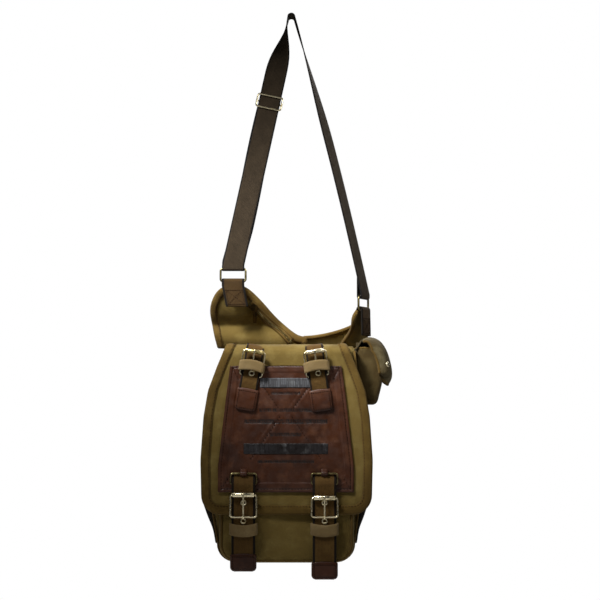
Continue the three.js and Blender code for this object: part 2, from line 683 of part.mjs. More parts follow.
// Turns a piece in the plane of the front, about the point (x, z).
function tiltAbout(geometry, x, z, angle) {
  geometry.translate(-x, 0, -z);
  geometry.rotateY(angle);
  geometry.translate(x, 0, z);
  return geometry;
}

// A tube along X.
function roller(x, y, z, width, inner, outer) {
  const half = width / 2;
  const profile = [[inner, -half], [outer, -half], [outer, half], [inner, half], [inner, -half]]
    .map(([r, h]) => new THREE.Vector2(r, h));
  const geometry = new THREE.LatheGeometry(profile, 14);
  geometry.rotateZ(Math.PI / 2);
  geometry.translate(x, y, z);
  return geometry;
}

// Upper straps, sewn to the flap
const UPPER = [
  { side: 'left', x: -52.5, lean: 0.17, end: -575 },
  { side: 'right', x: 34.5, lean: -0.13, end: -576 },
];
const UPPER_WIDTH = 24;
const UPPER_THICK = 1.8;
const UPPER_WIRE = 2.2;
const UPPER_FRAME = { width: 33, height: 20, bar: -511 };
const UPPER_ROLLER = { width: 26, inner: 1.9, outer: 2.9 };
const UPPER_PIVOT = -505;   // the lean of each strap turns about this height
const UPPER_TIP = { length: 28, thick: 3.4, over: 2.4 };
const UPPER_KEEPER = { half: 17.5, height: 9, low: -524.5 };

function upperStrap({ side, x, lean, end }) {
  const name = (part) => `upper_${part}_${side}`;
  const back = FLAP_BACK - FLAP_THICK - GAP - LEATHER - GAP;
  const tipTop = end + UPPER_TIP.length;
  const half = UPPER_WIDTH / 2;
  const turned = (geometry) => tiltAbout(geometry, x, UPPER_PIVOT, lean);
  const web = box(x - half, x + half, back - UPPER_THICK, back, tipTop + GAP, FLAP_TOP + 1);
  piece(name('strap'), turned(web), 'webbing');
  const tip = tipOutline(x, half + UPPER_TIP.over, end, tipTop);
  piece(name('tip'), turned(plateY(tip, back - UPPER_TIP.thick, back)), 'leather');

  // Buckle: frame, roller on its top bar, prong on its lower bar
  const frameY = back - UPPER_THICK - GAP * 2 - UPPER_TIP.thick;
  const barZ = UPPER_FRAME.bar;
  const frame = wireLoop(UPPER_FRAME.width, UPPER_FRAME.height, UPPER_WIRE);
  frame.translate(x, frameY, barZ);
  piece(name('frame'), turned(frame), 'brass');
  const rollerZ = barZ + UPPER_FRAME.height - UPPER_WIRE;
  const { width, inner, outer } = UPPER_ROLLER;
  piece(name('roller'), turned(roller(x, frameY, rollerZ, width, inner, outer)), 'brass');
  piece(name('prong'), turned(prong(x, frameY, barZ, rollerZ, outer)), 'brass');

  // Keeper: a band over the strap below the frame
  const keeperFront = frameY - 4.6;
  const wide = UPPER_KEEPER.half;
  const rear = back - 0.2;
  const keeper = new THREE.Shape([
    [-wide, rear], [-wide, keeperFront + 2], [-wide + 2.5, keeperFront], [wide - 2.5, keeperFront],
    [wide, keeperFront + 2], [wide, rear], [wide - 1.5, rear], [wide - 1.5, keeperFront + 2.6],
    [wide - 3.1, keeperFront + 1.5], [-wide + 3.1, keeperFront + 1.5],
    [-wide + 1.5, keeperFront + 2.6], [-wide + 1.5, rear],
  ].map(([u, v]) => new THREE.Vector2(u, v)));
  const band = new THREE.ExtrudeGeometry(keeper, { depth: UPPER_KEEPER.height, bevelEnabled: false });
  band.translate(x, 0, UPPER_KEEPER.low);
  piece(name('keeper'), turned(band), 'webbing');
}

// Lower straps: each hangs from a ring on the patch and buckles over the front pocket
const LOWER = [
  { side: 'left', x: -65.5, ringTop: -662, end: -795, top: 0 },
  { side: 'right', x: 46.5, ringTop: -662, end: -806, top: -4 },
];
const LOWER_WIDTH = 32;
const LOWER_LOOP_WIDTH = 38.5;
const LOWER_RING = { height: 17, wire: 2.4 };
const LOWER_BACK = -67.4;
const LOWER_FRONT = -71;
const LOWER_TIP = { length: 21, over: 1, front: 0.8, behind: 0.4 };
const LOWER_FRAME = { height: 33, wire: 2.6, bar: -721.5 };
const LOWER_ROLLER = { width: 30, inner: 2.2, outer: 3.5 };
const LOWER_KEEPER = { half: 19, front: -74, rear: -65.6, height: 15, low: -745 };
const LOWER_SNAP = { radius: 7, length: 5.6, z: -760 };

function lowerStrap({ side, x, ringTop, end, top }) {
  const name = (part) => `lower_${part}_${side}`;
  const ring = wireLoop(LOWER_LOOP_WIDTH, LOWER_RING.height, LOWER_RING.wire);
  const lowBar = ringTop - (LOWER_RING.height - LOWER_RING.wire);
  ring.translate(x, RING_BAR_Y, lowBar);
  piece(name('ring'), ring, 'brass');

  // Webbing with its fold round the ring's lower bar
  const strapBack = LOWER_BACK;
  const strapFront = LOWER_FRONT;
  const tipTop = end + LOWER_TIP.length;
  const fold = loopShape(RING_BAR_Y, lowBar, [
    [RING_BAR_Y - 2.4, lowBar + 2.6], [RING_BAR_Y, lowBar + LOOP_OUT], [RING_BAR_Y + 2, lowBar + 2.8],
    [strapBack, lowBar], [strapBack, tipTop + GAP], [strapFront, tipTop + GAP],
    [strapFront, lowBar - 5], [RING_BAR_Y - LOOP_OUT, lowBar - 1],
  ]);
  const webWidth = LOWER_WIDTH - 0.6;
  piece(name('strap'), barX(fold, x, webWidth), 'webbing');
  const tip = tipOutline(x, LOWER_WIDTH / 2 + LOWER_TIP.over, end, tipTop);
  const tipFront = strapFront - LOWER_TIP.front;
  piece(name('tip'), plateY(tip, tipFront, strapBack + LOWER_TIP.behind), 'leather');

  const { width, inner, outer } = LOWER_ROLLER;
  const frameHeight = LOWER_FRAME.height + top;
  const frameY = strapFront - GAP * 2 - outer;
  const barZ = LOWER_FRAME.bar;
  const frame = wireLoop(LOWER_LOOP_WIDTH, frameHeight, LOWER_FRAME.wire);
  frame.translate(x, frameY, barZ);
  piece(name('frame'), frame, 'brass');
  const rollerZ = barZ + frameHeight - LOWER_FRAME.wire;
  piece(name('roller'), roller(x, frameY, rollerZ, width, inner, outer), 'brass');
  piece(name('prong'), prong(x, frameY, barZ, rollerZ, outer), 'brass');

  const { half, front, rear, height, low } = LOWER_KEEPER;
  const keeper = outline([[x - half, front], [x + half, front], [x + half, rear], [x - half, rear]]);
  const wall = 1.6;
  keeper.holes.push(new THREE.Path([
    [x - half + wall, front + wall], [x + half - wall, front + wall],
    [x + half - wall, rear - 1], [x - half + wall, rear - 1],
  ].map(([u, v]) => new THREE.Vector2(u, v))));
  const band = new THREE.ExtrudeGeometry(keeper, { depth: height, bevelEnabled: false });
  band.translate(0, 0, low);
  piece(name('keeper'), band, 'webbing');

  const snap = new THREE.CylinderGeometry(LOWER_SNAP.radius, LOWER_SNAP.radius, LOWER_SNAP.length, 16);
  snap.translate(x, strapBack + GAP + LOWER_SNAP.length / 2, LOWER_SNAP.z);
  piece(name('snap'), snap, 'brass');
}

shoulderStrap();
wings();
bodyShell();
frontPocket();
sidePockets();
accessoryPocket();
zip();
flap();
UPPER.forEach(upperStrap);
LOWER.forEach(lowerStrap);

export default bag;
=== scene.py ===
# %% [markdown]
# # A canvas sling camera bag
# The bag hangs from its shoulder strap. Its hardware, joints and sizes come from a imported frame,
# which is loaded first. Every cell below takes its places from that frame, so a piece that is made
# here lies where the mechanism says. Everything is in metres, with +Z up and the front facing -Y.

# %% Load the frame
import bpy
import bmesh
import json
import math
import numpy as np
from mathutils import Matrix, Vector, noise


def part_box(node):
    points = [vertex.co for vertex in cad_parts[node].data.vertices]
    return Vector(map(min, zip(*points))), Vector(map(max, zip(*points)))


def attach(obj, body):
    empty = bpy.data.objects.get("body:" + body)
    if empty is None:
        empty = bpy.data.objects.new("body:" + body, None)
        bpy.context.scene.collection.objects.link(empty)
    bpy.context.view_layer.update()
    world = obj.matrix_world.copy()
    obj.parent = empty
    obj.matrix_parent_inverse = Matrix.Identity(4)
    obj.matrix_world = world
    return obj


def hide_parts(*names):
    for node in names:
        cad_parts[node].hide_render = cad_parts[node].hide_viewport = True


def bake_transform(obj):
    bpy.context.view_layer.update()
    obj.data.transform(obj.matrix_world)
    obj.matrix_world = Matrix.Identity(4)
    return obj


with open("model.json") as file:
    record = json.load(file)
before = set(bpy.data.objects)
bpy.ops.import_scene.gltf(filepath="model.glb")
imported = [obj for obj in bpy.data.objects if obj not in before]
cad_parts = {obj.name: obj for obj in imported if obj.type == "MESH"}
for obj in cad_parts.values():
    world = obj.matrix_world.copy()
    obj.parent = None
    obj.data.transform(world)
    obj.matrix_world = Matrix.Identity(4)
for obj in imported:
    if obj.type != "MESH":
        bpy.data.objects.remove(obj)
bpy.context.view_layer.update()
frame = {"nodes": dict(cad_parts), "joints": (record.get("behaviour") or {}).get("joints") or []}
joints = {joint["name"]: joint for joint in frame["joints"]}

# %% [markdown]
# ## Camera and light
# The bag is seen from straight in front, a little above its middle, from two metres away. A long
# lens keeps the strap from spreading. A soft lamp close above the front makes the canvas bright at
# the top and dark at the bottom, as under a ceiling lamp, and a weak sky fills the shadows.

# %% Camera, light and floor
EYE = Vector((0.0126, -2.062, -0.56))
AIM = Vector((0.0126, -0.062, -0.421))
VIEW_WIDTH = 0.84            # what the frame spans at the front of the bag


def add_camera():
    data = bpy.data.cameras.new("camera")
    camera = bpy.data.objects.new("camera", data)
    bpy.context.collection.objects.link(camera)
    camera.location = EYE
    camera.rotation_euler = (AIM - EYE).to_track_quat("-Z", "Y").to_euler()
    data.sensor_width = 36
    data.lens = data.sensor_width * (AIM - EYE).length / VIEW_WIDTH
    bpy.context.scene.camera = camera


def add_lamp(name, place, target, size, watts, spread=180):
    data = bpy.data.lights.new(name, "AREA")
    data.shape = "RECTANGLE"
    data.size, data.size_y = size
    data.energy = watts
    data.spread = math.radians(spread)
    lamp = bpy.data.objects.new(name, data)
    bpy.context.collection.objects.link(lamp)
    lamp.location = place
    lamp.rotation_euler = (Vector(target) - Vector(place)).to_track_quat("-Z", "Y").to_euler()


def add_sky(seen, cast):
    world = bpy.data.worlds.new("sky")
    bpy.context.scene.world = world
    world.use_nodes = True
    nodes, links = world.node_tree.nodes, world.node_tree.links
    nodes.clear()
    out = nodes.new("ShaderNodeOutputWorld")
    mix = nodes.new("ShaderNodeMixShader")
    path = nodes.new("ShaderNodeLightPath")
    shades = []
    for strength in (cast, seen):
        shade = nodes.new("ShaderNodeBackground")
        shade.inputs["Color"].default_value = (1, 1, 1, 1)
        shade.inputs["Strength"].default_value = strength
        shades.append(shade)
    links.new(path.outputs["Is Camera Ray"], mix.inputs[0])
    links.new(shades[0].outputs[0], mix.inputs[1])
    links.new(shades[1].outputs[0], mix.inputs[2])
    links.new(mix.outputs[0], out.inputs["Surface"])


add_camera()
add_lamp("key", (-0.40, -0.50, 0.18), (-0.02, -0.05, -0.385), (0.3, 0.22), 1.15, spread=31)
add_lamp("back", (0.35, 1.25, 0.15), (0, 0, -0.55), (0.9, 0.9), 3.0, spread=70)
add_lamp("side", (0.55, -0.5, 0.0), (0.06, 0, -0.25), (0.3, 0.3), 0.6, spread=60)
add_sky(seen=1.0, cast=0.035)
print("camera", (AIM - EYE).length, "m away, view", VIEW_WIDTH, "m wide")
bpy.context.scene.view_settings.view_transform = "Standard"

# %% [markdown]
# ## Mesh helpers
# Cloth, webbing and leather are all sheets. Each is laid out as a grid of points in rows, which
# also gives the UV map, and is then given a thickness and a soft rim. Wire is a circle swept along
# a path, and turned metal is a profile spun round an axis.

# %% Sheets, wires and turned pieces
def finish_mesh(name, points, faces, material, body, uvs=None, smooth=True):
    """A mesh object from points and faces that rides on a body and takes a slot's finish."""
    mesh = bpy.data.meshes.new(name)
    mesh.from_pydata([tuple(map(float, p)) for p in points], [], [tuple(f) for f in faces])
    if uvs is not None:
        layer = mesh.uv_layers.new(name="cloth")
        corners = np.array([loop.vertex_index for loop in mesh.loops])
        layer.data.foreach_set("uv", np.asarray(uvs, dtype=np.float32)[corners].ravel())
    made = bmesh.new()
    made.from_mesh(mesh)
    bmesh.ops.recalc_face_normals(made, faces=made.faces)
    made.to_mesh(mesh)
    made.free()
    mesh.polygons.foreach_set("use_smooth", [smooth] * len(mesh.polygons))
    piece = bpy.data.objects.new(name, mesh)
    bpy.context.collection.objects.link(piece)
    mesh.materials.append(material)
    if body:
        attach(piece, body)
    return piece

# %% [markdown]
# Cloth is a grid with a thickness. A grid keeps its rows straight when it is bent, so the weave and
# the ribs follow the cloth, and a subdivided box would lose them. The rim is rounded, since a cut and
# turned edge is never sharp.

# %% Sheets and webbing
def grid_normals(grid):
    """The unit normals of a grid of points, rows by columns."""
    down = np.gradient(grid, axis=0)
    over = np.gradient(grid, axis=1)
    normals = np.cross(over, down)
    return normals / np.maximum(np.linalg.norm(normals, axis=2, keepdims=True), 1e-9)


def quads(rows, columns, start=0, wrap=False):
    """Faces of a grid whose points are numbered row by row."""
    faces = []
    last = columns if wrap else columns - 1
    for r in range(rows - 1):
        for c in range(last):
            a = start + r * columns + c
            b = start + r * columns + (c + 1) % columns
            faces.append((a, b, b + columns, a + columns))
    return faces


def rim_numbers(rows, columns):
    """The grid's edge points, once round."""
    top = [c for c in range(columns)]
    right = [r * columns + columns - 1 for r in range(1, rows)]
    bottom = [(rows - 1) * columns + c for c in range(columns - 2, -1, -1)]
    left = [r * columns for r in range(rows - 2, 0, -1)]
    return top + right + bottom + left


def sheet(name, grid, thick, material, body, uv=None, round_rim=0.4):
    """A closed sheet of the given thickness about a grid, with a rounded rim."""
    rows, columns = grid.shape[:2]
    normals = grid_normals(grid)
    front = (grid + normals * thick / 2).reshape(-1, 3)
    back = (grid - normals * thick / 2).reshape(-1, 3)
    middle = grid.reshape(-1, 3)
    rim = rim_numbers(rows, columns)
    inner = grid[1:-1, 1:-1].mean(axis=(0, 1)) if rows > 2 and columns > 2 else middle.mean(axis=0)
    outward = np.zeros((len(rim), 3))
    for i, number in enumerate(rim):
        before, after = middle[rim[i - 1]], middle[rim[(i + 1) % len(rim)]]
        side = np.cross(after - before, normals.reshape(-1, 3)[number])
        length = np.linalg.norm(side)
        outward[i] = side / length if length > 1e-9 else 0
    facing = np.sum(outward * (middle[rim] - inner), axis=1).sum()
    outward *= 1 if facing > 0 else -1
    lip = middle[rim] + outward * thick * round_rim
    points = np.vstack([front, back, lip])
    count = rows * columns
    faces = quads(rows, columns)
    faces += [tuple(reversed([n + count for n in f])) for f in quads(rows, columns)]
    for i, number in enumerate(rim):
        following = rim[(i + 1) % len(rim)]
        j = 2 * count + i
        k = 2 * count + (i + 1) % len(rim)
        faces.append((number, j, k, following))
        faces.append((j, number + count, following + count, k))
    if uv is None:
        across = np.linalg.norm(np.diff(grid, axis=1), axis=2).cumsum(axis=1)
        along = np.linalg.norm(np.diff(grid, axis=0), axis=2).cumsum(axis=0)
        uv = np.zeros((rows, columns, 2))
        uv[:, 1:, 0] = across
        uv[1:, :, 1] = along
    flat = uv.reshape(-1, 2)
    uvs = np.vstack([flat, flat, flat[rim]])
    return finish_mesh(name, points, faces, material, body, uvs)


def ribbon(name, middles, across, width, thick, material, body, columns=9):
    """Webbing along `middles`: its UV runs 0 to 1 across and in metres along."""
    middles, across = np.asarray(middles, float), np.asarray(across, float)
    if across.ndim == 1:
        across = np.tile(across, (len(middles), 1))
    steps = np.linspace(-0.5, 0.5, columns)
    grid = middles[:, None, :] + across[:, None, :] * (steps * width)[None, :, None]
    along = np.concatenate([[0], np.linalg.norm(np.diff(middles, axis=0), axis=1).cumsum()])
    uv = np.zeros(grid.shape[:2] + (2,))
    uv[:, :, 0] = steps + 0.5
    uv[:, :, 1] = along[:, None]
    return sheet(name, grid, thick, material, body, uv)

# %% [markdown]
# Rings, buckles and prongs are bent from round wire, and rivets, snaps and rollers are turned. Both
# are made from points, so that a bend keeps the same wire size all the way round.

# %% Wire and turned metal
def swept(path, radius, closed, sides=10):
    """Points and faces of a round wire along a path."""
    path = np.asarray(path, float)
    count = len(path)
    if closed:
        tangents = np.roll(path, -1, axis=0) - np.roll(path, 1, axis=0)
    else:
        tangents = np.gradient(path, axis=0)
    tangents /= np.linalg.norm(tangents, axis=1, keepdims=True)
    radii = np.broadcast_to(np.asarray(radius, float), (count,))
    start = np.cross(tangents[0], [0.0, 0.0, 1.0])
    if np.linalg.norm(start) < 1e-3:
        start = np.cross(tangents[0], [0.0, 1.0, 0.0])
    normal = start / np.linalg.norm(start)
    points = []
    for i in range(count):
        normal = normal - tangents[i] * normal.dot(tangents[i])
        normal /= np.linalg.norm(normal)
        other = np.cross(tangents[i], normal)
        for s in range(sides):
            a = 2 * math.pi * s / sides
            points.append(path[i] + (normal * math.cos(a) + other * math.sin(a)) * radii[i])
    faces = quads(count, sides, wrap=True)
    if closed:
        for s in range(sides):
            a, b = (count - 1) * sides + s, (count - 1) * sides + (s + 1) % sides
            faces.append((a, b, (s + 1) % sides, s))
    else:
        faces.append(tuple(reversed(range(sides))))
        faces.append(tuple((count - 1) * sides + s for s in range(sides)))
    return points, faces


def wire(name, paths, radius, material, body, sides=10):
    """One piece made of round wires; each path is (points, closed)."""
    points, faces = [], []
    for path, closed in paths:
        more, sides_of = swept(path, radius, closed, sides)
        faces += [tuple(n + len(points) for n in f) for f in sides_of]
        points += more
    return finish_mesh(name, points, faces, material, body)


def round_rectangle(width, height, corner, steps=5):
    """Points of a rectangle with round corners, about the origin, in two axes."""
    points = []
    for k, (sx, sz) in enumerate(((1, 1), (-1, 1), (-1, -1), (1, -1))):
        for i in range(steps + 1):
            a = math.pi / 2 * (k + i / steps)
            points.append((sx * (width / 2 - corner) + corner * math.cos(a),
                           sz * (height / 2 - corner) + corner * math.sin(a)))
    return points


def spun(name, profile, centre, axis, material, body, sides=24):
    """A turned piece: `profile` holds (radius, distance along the axis) pairs, once round."""
    axis = Vector(axis).normalized()
    one = axis.orthogonal().normalized()
    two = axis.cross(one)
    points = []
    for radius, height in profile:
        for s in range(sides):
            a = 2 * math.pi * s / sides
            spoke = one * math.cos(a) + two * math.sin(a)
            points.append(Vector(centre) + spoke * radius + axis * height)
    faces = quads(len(profile), sides, wrap=True)
    last = (len(profile) - 1) * sides
    for s in range(sides):
        faces.append((last + s, last + (s + 1) % sides, (s + 1) % sides, s))
    return finish_mesh(name, points, faces, material, body)

# %% [markdown]
# Slack cloth waves a little, and parts that meet do so gradually. Two small functions give both.

# %% Waves and smooth steps
def ruffle(x, y, z, scale, seed):
    """A smooth wave in [-1, 1] that is the same at every run."""
    return noise.noise(Vector((x * scale + seed * 7.3, y * scale - seed * 3.1, z * scale + seed)))


def run_length(points):
    """How long a row of points is."""
    return float(np.linalg.norm(np.diff(points, axis=0), axis=1).sum())


def ease(t):
    """A smooth step from 0 to 1."""
    t = min(max(t, 0.0), 1.0)
    return t * t * (3 - 2 * t)

# %% [markdown]
# ## Materials
# Washed canvas is an uneven olive khaki: threads cross each other, some patches have faded, and the
# nap scatters light. Waves in three directions make the threads on a face that looks any way.
# Webbing follows its own UV map, so that the ribs run across the strap and the dark
# selvedges stay at its edges. Leather is cells of grain under wax. Brass is brown in the hollows.

# %% Node helpers
class Shader:
    """A material whose nodes are added and joined in short lines."""

    def __init__(self, name, roughness, metallic=0.0):
        self.material = bpy.data.materials.new(name)
        self.material.use_nodes = True
        self.nodes = self.material.node_tree.nodes
        self.links = self.material.node_tree.links
        self.surface = self.nodes["Principled BSDF"]
        self.surface.inputs["Roughness"].default_value = roughness
        self.surface.inputs["Metallic"].default_value = metallic
        self.coordinates = self.nodes.new("ShaderNodeTexCoord")

    def add(self, kind, settings=None, **sockets):
        node = self.nodes.new(kind)
        for key, value in (settings or {}).items():
            setattr(node, key, value)
        for key, value in sockets.items():
            socket = node.inputs[int(key[1:])] if key[1:].isdigit() else node.inputs[key]
            if isinstance(value, bpy.types.NodeSocket):
                self.links.new(value, socket)
            else:
                socket.default_value = value
        return node

    def math(self, operation, a, b=0.0):
        return self.add("ShaderNodeMath", {"operation": operation}, i0=a, i1=b).outputs[0]

    def noise(self, scale, detail=3.0, vector=None):
        vector = vector or self.coordinates.outputs["Object"]
        return self.add("ShaderNodeTexNoise", Vector=vector, Scale=scale, Detail=detail).outputs[0]

    def mix(self, factor, a, b, blend="MIX"):
        node = self.nodes.new("ShaderNodeMix")
        node.data_type, node.blend_type = "RGBA", blend
        for key, value in ((0, factor), (6, a), (7, b)):
            if isinstance(value, bpy.types.NodeSocket):
                self.links.new(value, node.inputs[key])
            else:
                node.inputs[key].default_value = value
        return node.outputs[2]

    def stretch(self, value, low, high, to_low=0.0, to_high=1.0):
        node = self.nodes.new("ShaderNodeMapRange")
        self.links.new(value, node.inputs["Value"])
        for key, number in zip(("From Min", "From Max", "To Min", "To Max"),
                               (low, high, to_low, to_high)):
            node.inputs[key].default_value = number
        return node.outputs[0]

    def bump(self, height, strength, distance, below=None):
        node = self.add("ShaderNodeBump", Height=height, Strength=strength, Distance=distance)
        if below is not None:
            self.links.new(below, node.inputs["Normal"])
        return node.outputs[0]

    def done(self, colour, normal=None, roughness=None):
        self.links.new(colour, self.surface.inputs["Base Color"])
        if normal is not None:
            self.links.new(normal, self.surface.inputs["Normal"])
        if roughness is not None:
            self.links.new(roughness, self.surface.inputs["Roughness"])
        return self.material


def shade(red, green, blue):
    """A linear colour from display values between 0 and 255."""
    def linear(value):
        value /= 255
        return value / 12.92 if value <= 0.04045 else ((value + 0.055) / 1.055) ** 2.4
    return (linear(red), linear(green), linear(blue), 1.0)

# %% [markdown]
# Cloth is dyed thread. It is painted darker between the threads, as shade, paler where it has been rubbed,
# and creased by use. Webbing is woven much more tightly, so its ribs and cords are in the bump of the
# surface, and shade is painted darker into their grooves.

# %% Cloth and webbing
def threads(shader, pitch):
    """Crossing threads on a face that looks any way, from waves along X, Y and Z."""
    place = shader.add("ShaderNodeSeparateXYZ", Vector=shader.coordinates.outputs["Object"])
    turn = 2 * math.pi / pitch
    waves = [shader.math("SINE", shader.math("MULTIPLY", place.outputs[i], turn)) for i in range(3)]
    pairs = [shader.math("MULTIPLY", waves[i], waves[j]) for i, j in ((0, 2), (1, 2), (0, 1))]
    return shader.math("ADD", shader.math("ADD", pairs[0], pairs[1]), pairs[2])


def cloth(name, dark, mid, light, pitch=0.0009, rough=0.93, fuzz=0.04, relief=0.5):
    """Woven cloth with faded patches, flecked threads and a soft nap."""
    s = Shader(name, rough)
    patches = s.noise(11.0, 4.0)
    flecks = s.noise(420.0, 2.0)
    weave = threads(s, pitch)
    colour = s.mix(s.stretch(patches, 0.35, 0.7), dark, mid)
    colour = s.mix(s.stretch(s.noise(55.0, 5.0), 0.48, 0.78), colour, light)
    colour = s.mix(s.stretch(flecks, 0.3, 0.75, 0.0, 0.35), colour, dark)
    # painted shade: the weave's troughs, between the threads, are mixed towards near black
    colour = s.mix(s.stretch(weave, -1.5, 1.5, 0.28, 0.0), colour, (0.01, 0.008, 0.004, 1))
    creases = s.bump(s.noise(38.0, 6.0), 0.35, 0.0025)
    s.surface.inputs["Sheen Weight"].default_value = fuzz
    s.surface.inputs["Sheen Roughness"].default_value = 0.6
    s.surface.inputs["Specular IOR Level"].default_value = 0.08
    return s.done(colour, s.bump(weave, relief, 0.00035, creases))


def webbing_finish(name, ground, worn, edge, rib=0.0016, selvedge=0.09):
    """Ribbed webbing: ribs across it with painted shade in their grooves, and selvedges of another colour.
    """
    s = Shader(name, 0.88)
    place = s.add("ShaderNodeSeparateXYZ", Vector=s.coordinates.outputs["UV"])
    ribs = s.math("SINE", s.math("MULTIPLY", place.outputs[1], 2 * math.pi / rib))
    cords = s.math("SINE", s.math("MULTIPLY", place.outputs[0], 2 * math.pi * 16))
    relief = s.math("ADD", ribs, s.math("MULTIPLY", cords, 0.6))
    from_edge = s.math("ABSOLUTE", s.math("SUBTRACT", place.outputs[0], 0.5))
    at_edge = s.stretch(from_edge, 0.5 - selvedge, 0.5 - selvedge + 0.02)
    colour = s.mix(s.stretch(s.noise(60.0, 4.0), 0.4, 0.7), ground, worn)
    # painted shade: the grooves between the ribs and cords are mixed towards the dark edge colour
    colour = s.mix(s.stretch(relief, -1.6, 1.6, 0.5, 0.0), colour, edge)
    colour = s.mix(at_edge, colour, edge)
    s.surface.inputs["Sheen Weight"].default_value = 0.03
    s.surface.inputs["Specular IOR Level"].default_value = 0.1
    return s.done(colour, s.bump(relief, 0.55, 0.0004))

# %% [markdown]
# Leather has grain cells, paler patches where the wax has lifted, and black where a tool has pressed
# it. Plated metal is bright where it rubs and brown in the hollows, and its scratches are very fine.

# %% Leather and metal
def leather_finish(name, dark, mid, bloom, rough=0.42):
    """Waxed leather: grain cells, pull-up patches and a low gloss."""
    s = Shader(name, rough)
    cells = s.add("ShaderNodeTexVoronoi", {"feature": "DISTANCE_TO_EDGE"},
                  Vector=s.coordinates.outputs["Object"], Scale=620.0).outputs[0]
    clouds = s.noise(22.0, 5.0)
    colour = s.mix(s.stretch(clouds, 0.36, 0.66), dark, mid)
    colour = s.mix(s.stretch(s.noise(70.0, 6.0), 0.52, 0.8, 0.0, 0.75), colour, bloom)
    colour = s.mix(s.stretch(cells, 0.0, 0.12, 0.35, 0.0), colour, dark)
    creases = s.bump(s.noise(95.0, 8.0), 0.35, 0.0012)
    s.surface.inputs["Coat Weight"].default_value = 0.03
    s.surface.inputs["Specular IOR Level"].default_value = 0.32
    s.surface.inputs["Coat Roughness"].default_value = 0.35
    inked = s.add("ShaderNodeAttribute", {"attribute_name": "pressed"}).outputs["Fac"]
    colour = s.mix(inked, colour, shade(12, 5, 3))
    normal = s.bump(s.stretch(cells, 0.0, 0.2), 0.3, 0.00025, creases)
    return s.done(colour, normal, s.stretch(s.noise(130.0, 3.0), 0.3, 0.7, rough - 0.08, rough + 0.14))


def metal_finish(name, bright, aged, rough=0.28, wear=0.55):
    """Plated wire, bright where it rubs and brown where it doesn't."""
    s = Shader(name, rough, metallic=1.0)
    stains = s.noise(170.0, 6.0)
    colour = s.mix(s.stretch(stains, wear - 0.13, wear + 0.12), bright, aged)
    scratches = s.noise(1400.0, 2.0)
    return s.done(colour, s.bump(scratches, 0.12, 0.0002),
                  s.stretch(stains, 0.35, 0.7, rough - 0.06, rough + 0.22))

# %% [markdown]
# The canvas is olive, the tape browner, and the webbing brown with dark edges. The hide is chestnut,
# and two strips on it are grey and black. Most of the metal is pale, old brass.

# %% The bag's finishes
canvas = cloth("olive_canvas", shade(100, 82, 38), shade(118, 98, 50), shade(132, 114, 64))
# painted shade: a darker copy of the olive canvas for the pouch, standing in for the flap's shadow on it
pouch_shaded_canvas = cloth("pouch_shaded_canvas", shade(64, 50, 23), shade(76, 61, 31), shade(90, 77, 46))
# painted shade: a darker copy of the canvas for the hood, for the shade on the bag's right side; its greyer
# tone is the hood's own
hood_grey_shaded_canvas = cloth("hood_grey_shaded_canvas", shade(74, 62, 37), shade(88, 77, 49), shade(122, 112, 82))
# painted shade: a darker copy of the canvas for the two strips that lie under the hood
canvas_shaded_strips = cloth("canvas_painted_shade", shade(50, 42, 24), shade(70, 58, 34), shade(84, 72, 46))
tape = cloth("binding_tape", shade(80, 60, 22), shade(98, 76, 32), shade(110, 88, 42), pitch=0.0013)
side_mesh = cloth("side_mesh", shade(16, 12, 6), shade(26, 21, 12), shade(34, 28, 16),
                  pitch=0.0022, fuzz=0.0)
lining = cloth("brushed_lining", shade(38, 36, 32), shade(54, 51, 46), shade(70, 66, 60), fuzz=0.6)
webbing = webbing_finish("brown_webbing", shade(84, 60, 26), shade(96, 72, 34), shade(26, 20, 14))
# painted shade: a darker copy of the brown webbing for the tabs, for the dim light on their upright faces
tab_webbing_shaded = webbing_finish("tab_webbing_shaded", shade(60, 43, 20), shade(68, 50, 26), shade(20, 16, 12))
# the strap's greyer webbing is its own tone, but it is also made darker as painted shade for the dim light
# on its upright run
strap_webbing_grey_shaded = webbing_finish("strap_webbing_grey_shaded", shade(54, 44, 31), shade(62, 51, 37), shade(20, 19, 19),
                               selvedge=0.05)
keeper_web = cloth("keeper_tape", shade(112, 92, 58), shade(130, 110, 74), shade(142, 122, 86),
                   pitch=0.0012)
leather = leather_finish("chestnut_leather", shade(44, 19, 5), shade(66, 32, 11), shade(86, 52, 32))
faded_leather = leather_finish("faded_leather", shade(62, 63, 66), shade(84, 85, 88),
                               shade(112, 113, 114), 0.5)
black_leather = leather_finish("black_leather", shade(15, 11, 10), shade(40, 38, 40),
                               shade(112, 112, 112), 0.4)
brass = metal_finish("aged_brass", shade(226, 206, 140), shade(128, 108, 58), wear=0.56)
pale_brass = metal_finish("pale_brass", shade(238, 226, 190), shade(150, 132, 84), rough=0.24, wear=0.62)
bronze = metal_finish("dark_bronze", shade(168, 156, 112), shade(82, 72, 44), rough=0.34, wear=0.47)
thread = cloth("sewing_thread", shade(30, 16, 9), shade(40, 22, 12), shade(52, 30, 18),
               pitch=0.0005, fuzz=0.0)
# painted shade: a darkened metal for the zip's slider and pull, which lie in shadow
zip_metal_shaded = metal_finish("zip_metal_shaded", shade(70, 56, 34), shade(38, 30, 18), rough=0.45, wear=0.5)
board = cloth("base_board", shade(18, 18, 18), shade(30, 30, 30), shade(40, 40, 40), pitch=0.004)

# %% [markdown]
# ## Stitches and teeth
# A seam is the same stitch again and again along a line, and so is a zip. Geometry Nodes set one
# small body at even steps along a path and turn it to follow the path, so a whole seam is one tree
# with a few named inputs. The result is turned into a plain mesh.

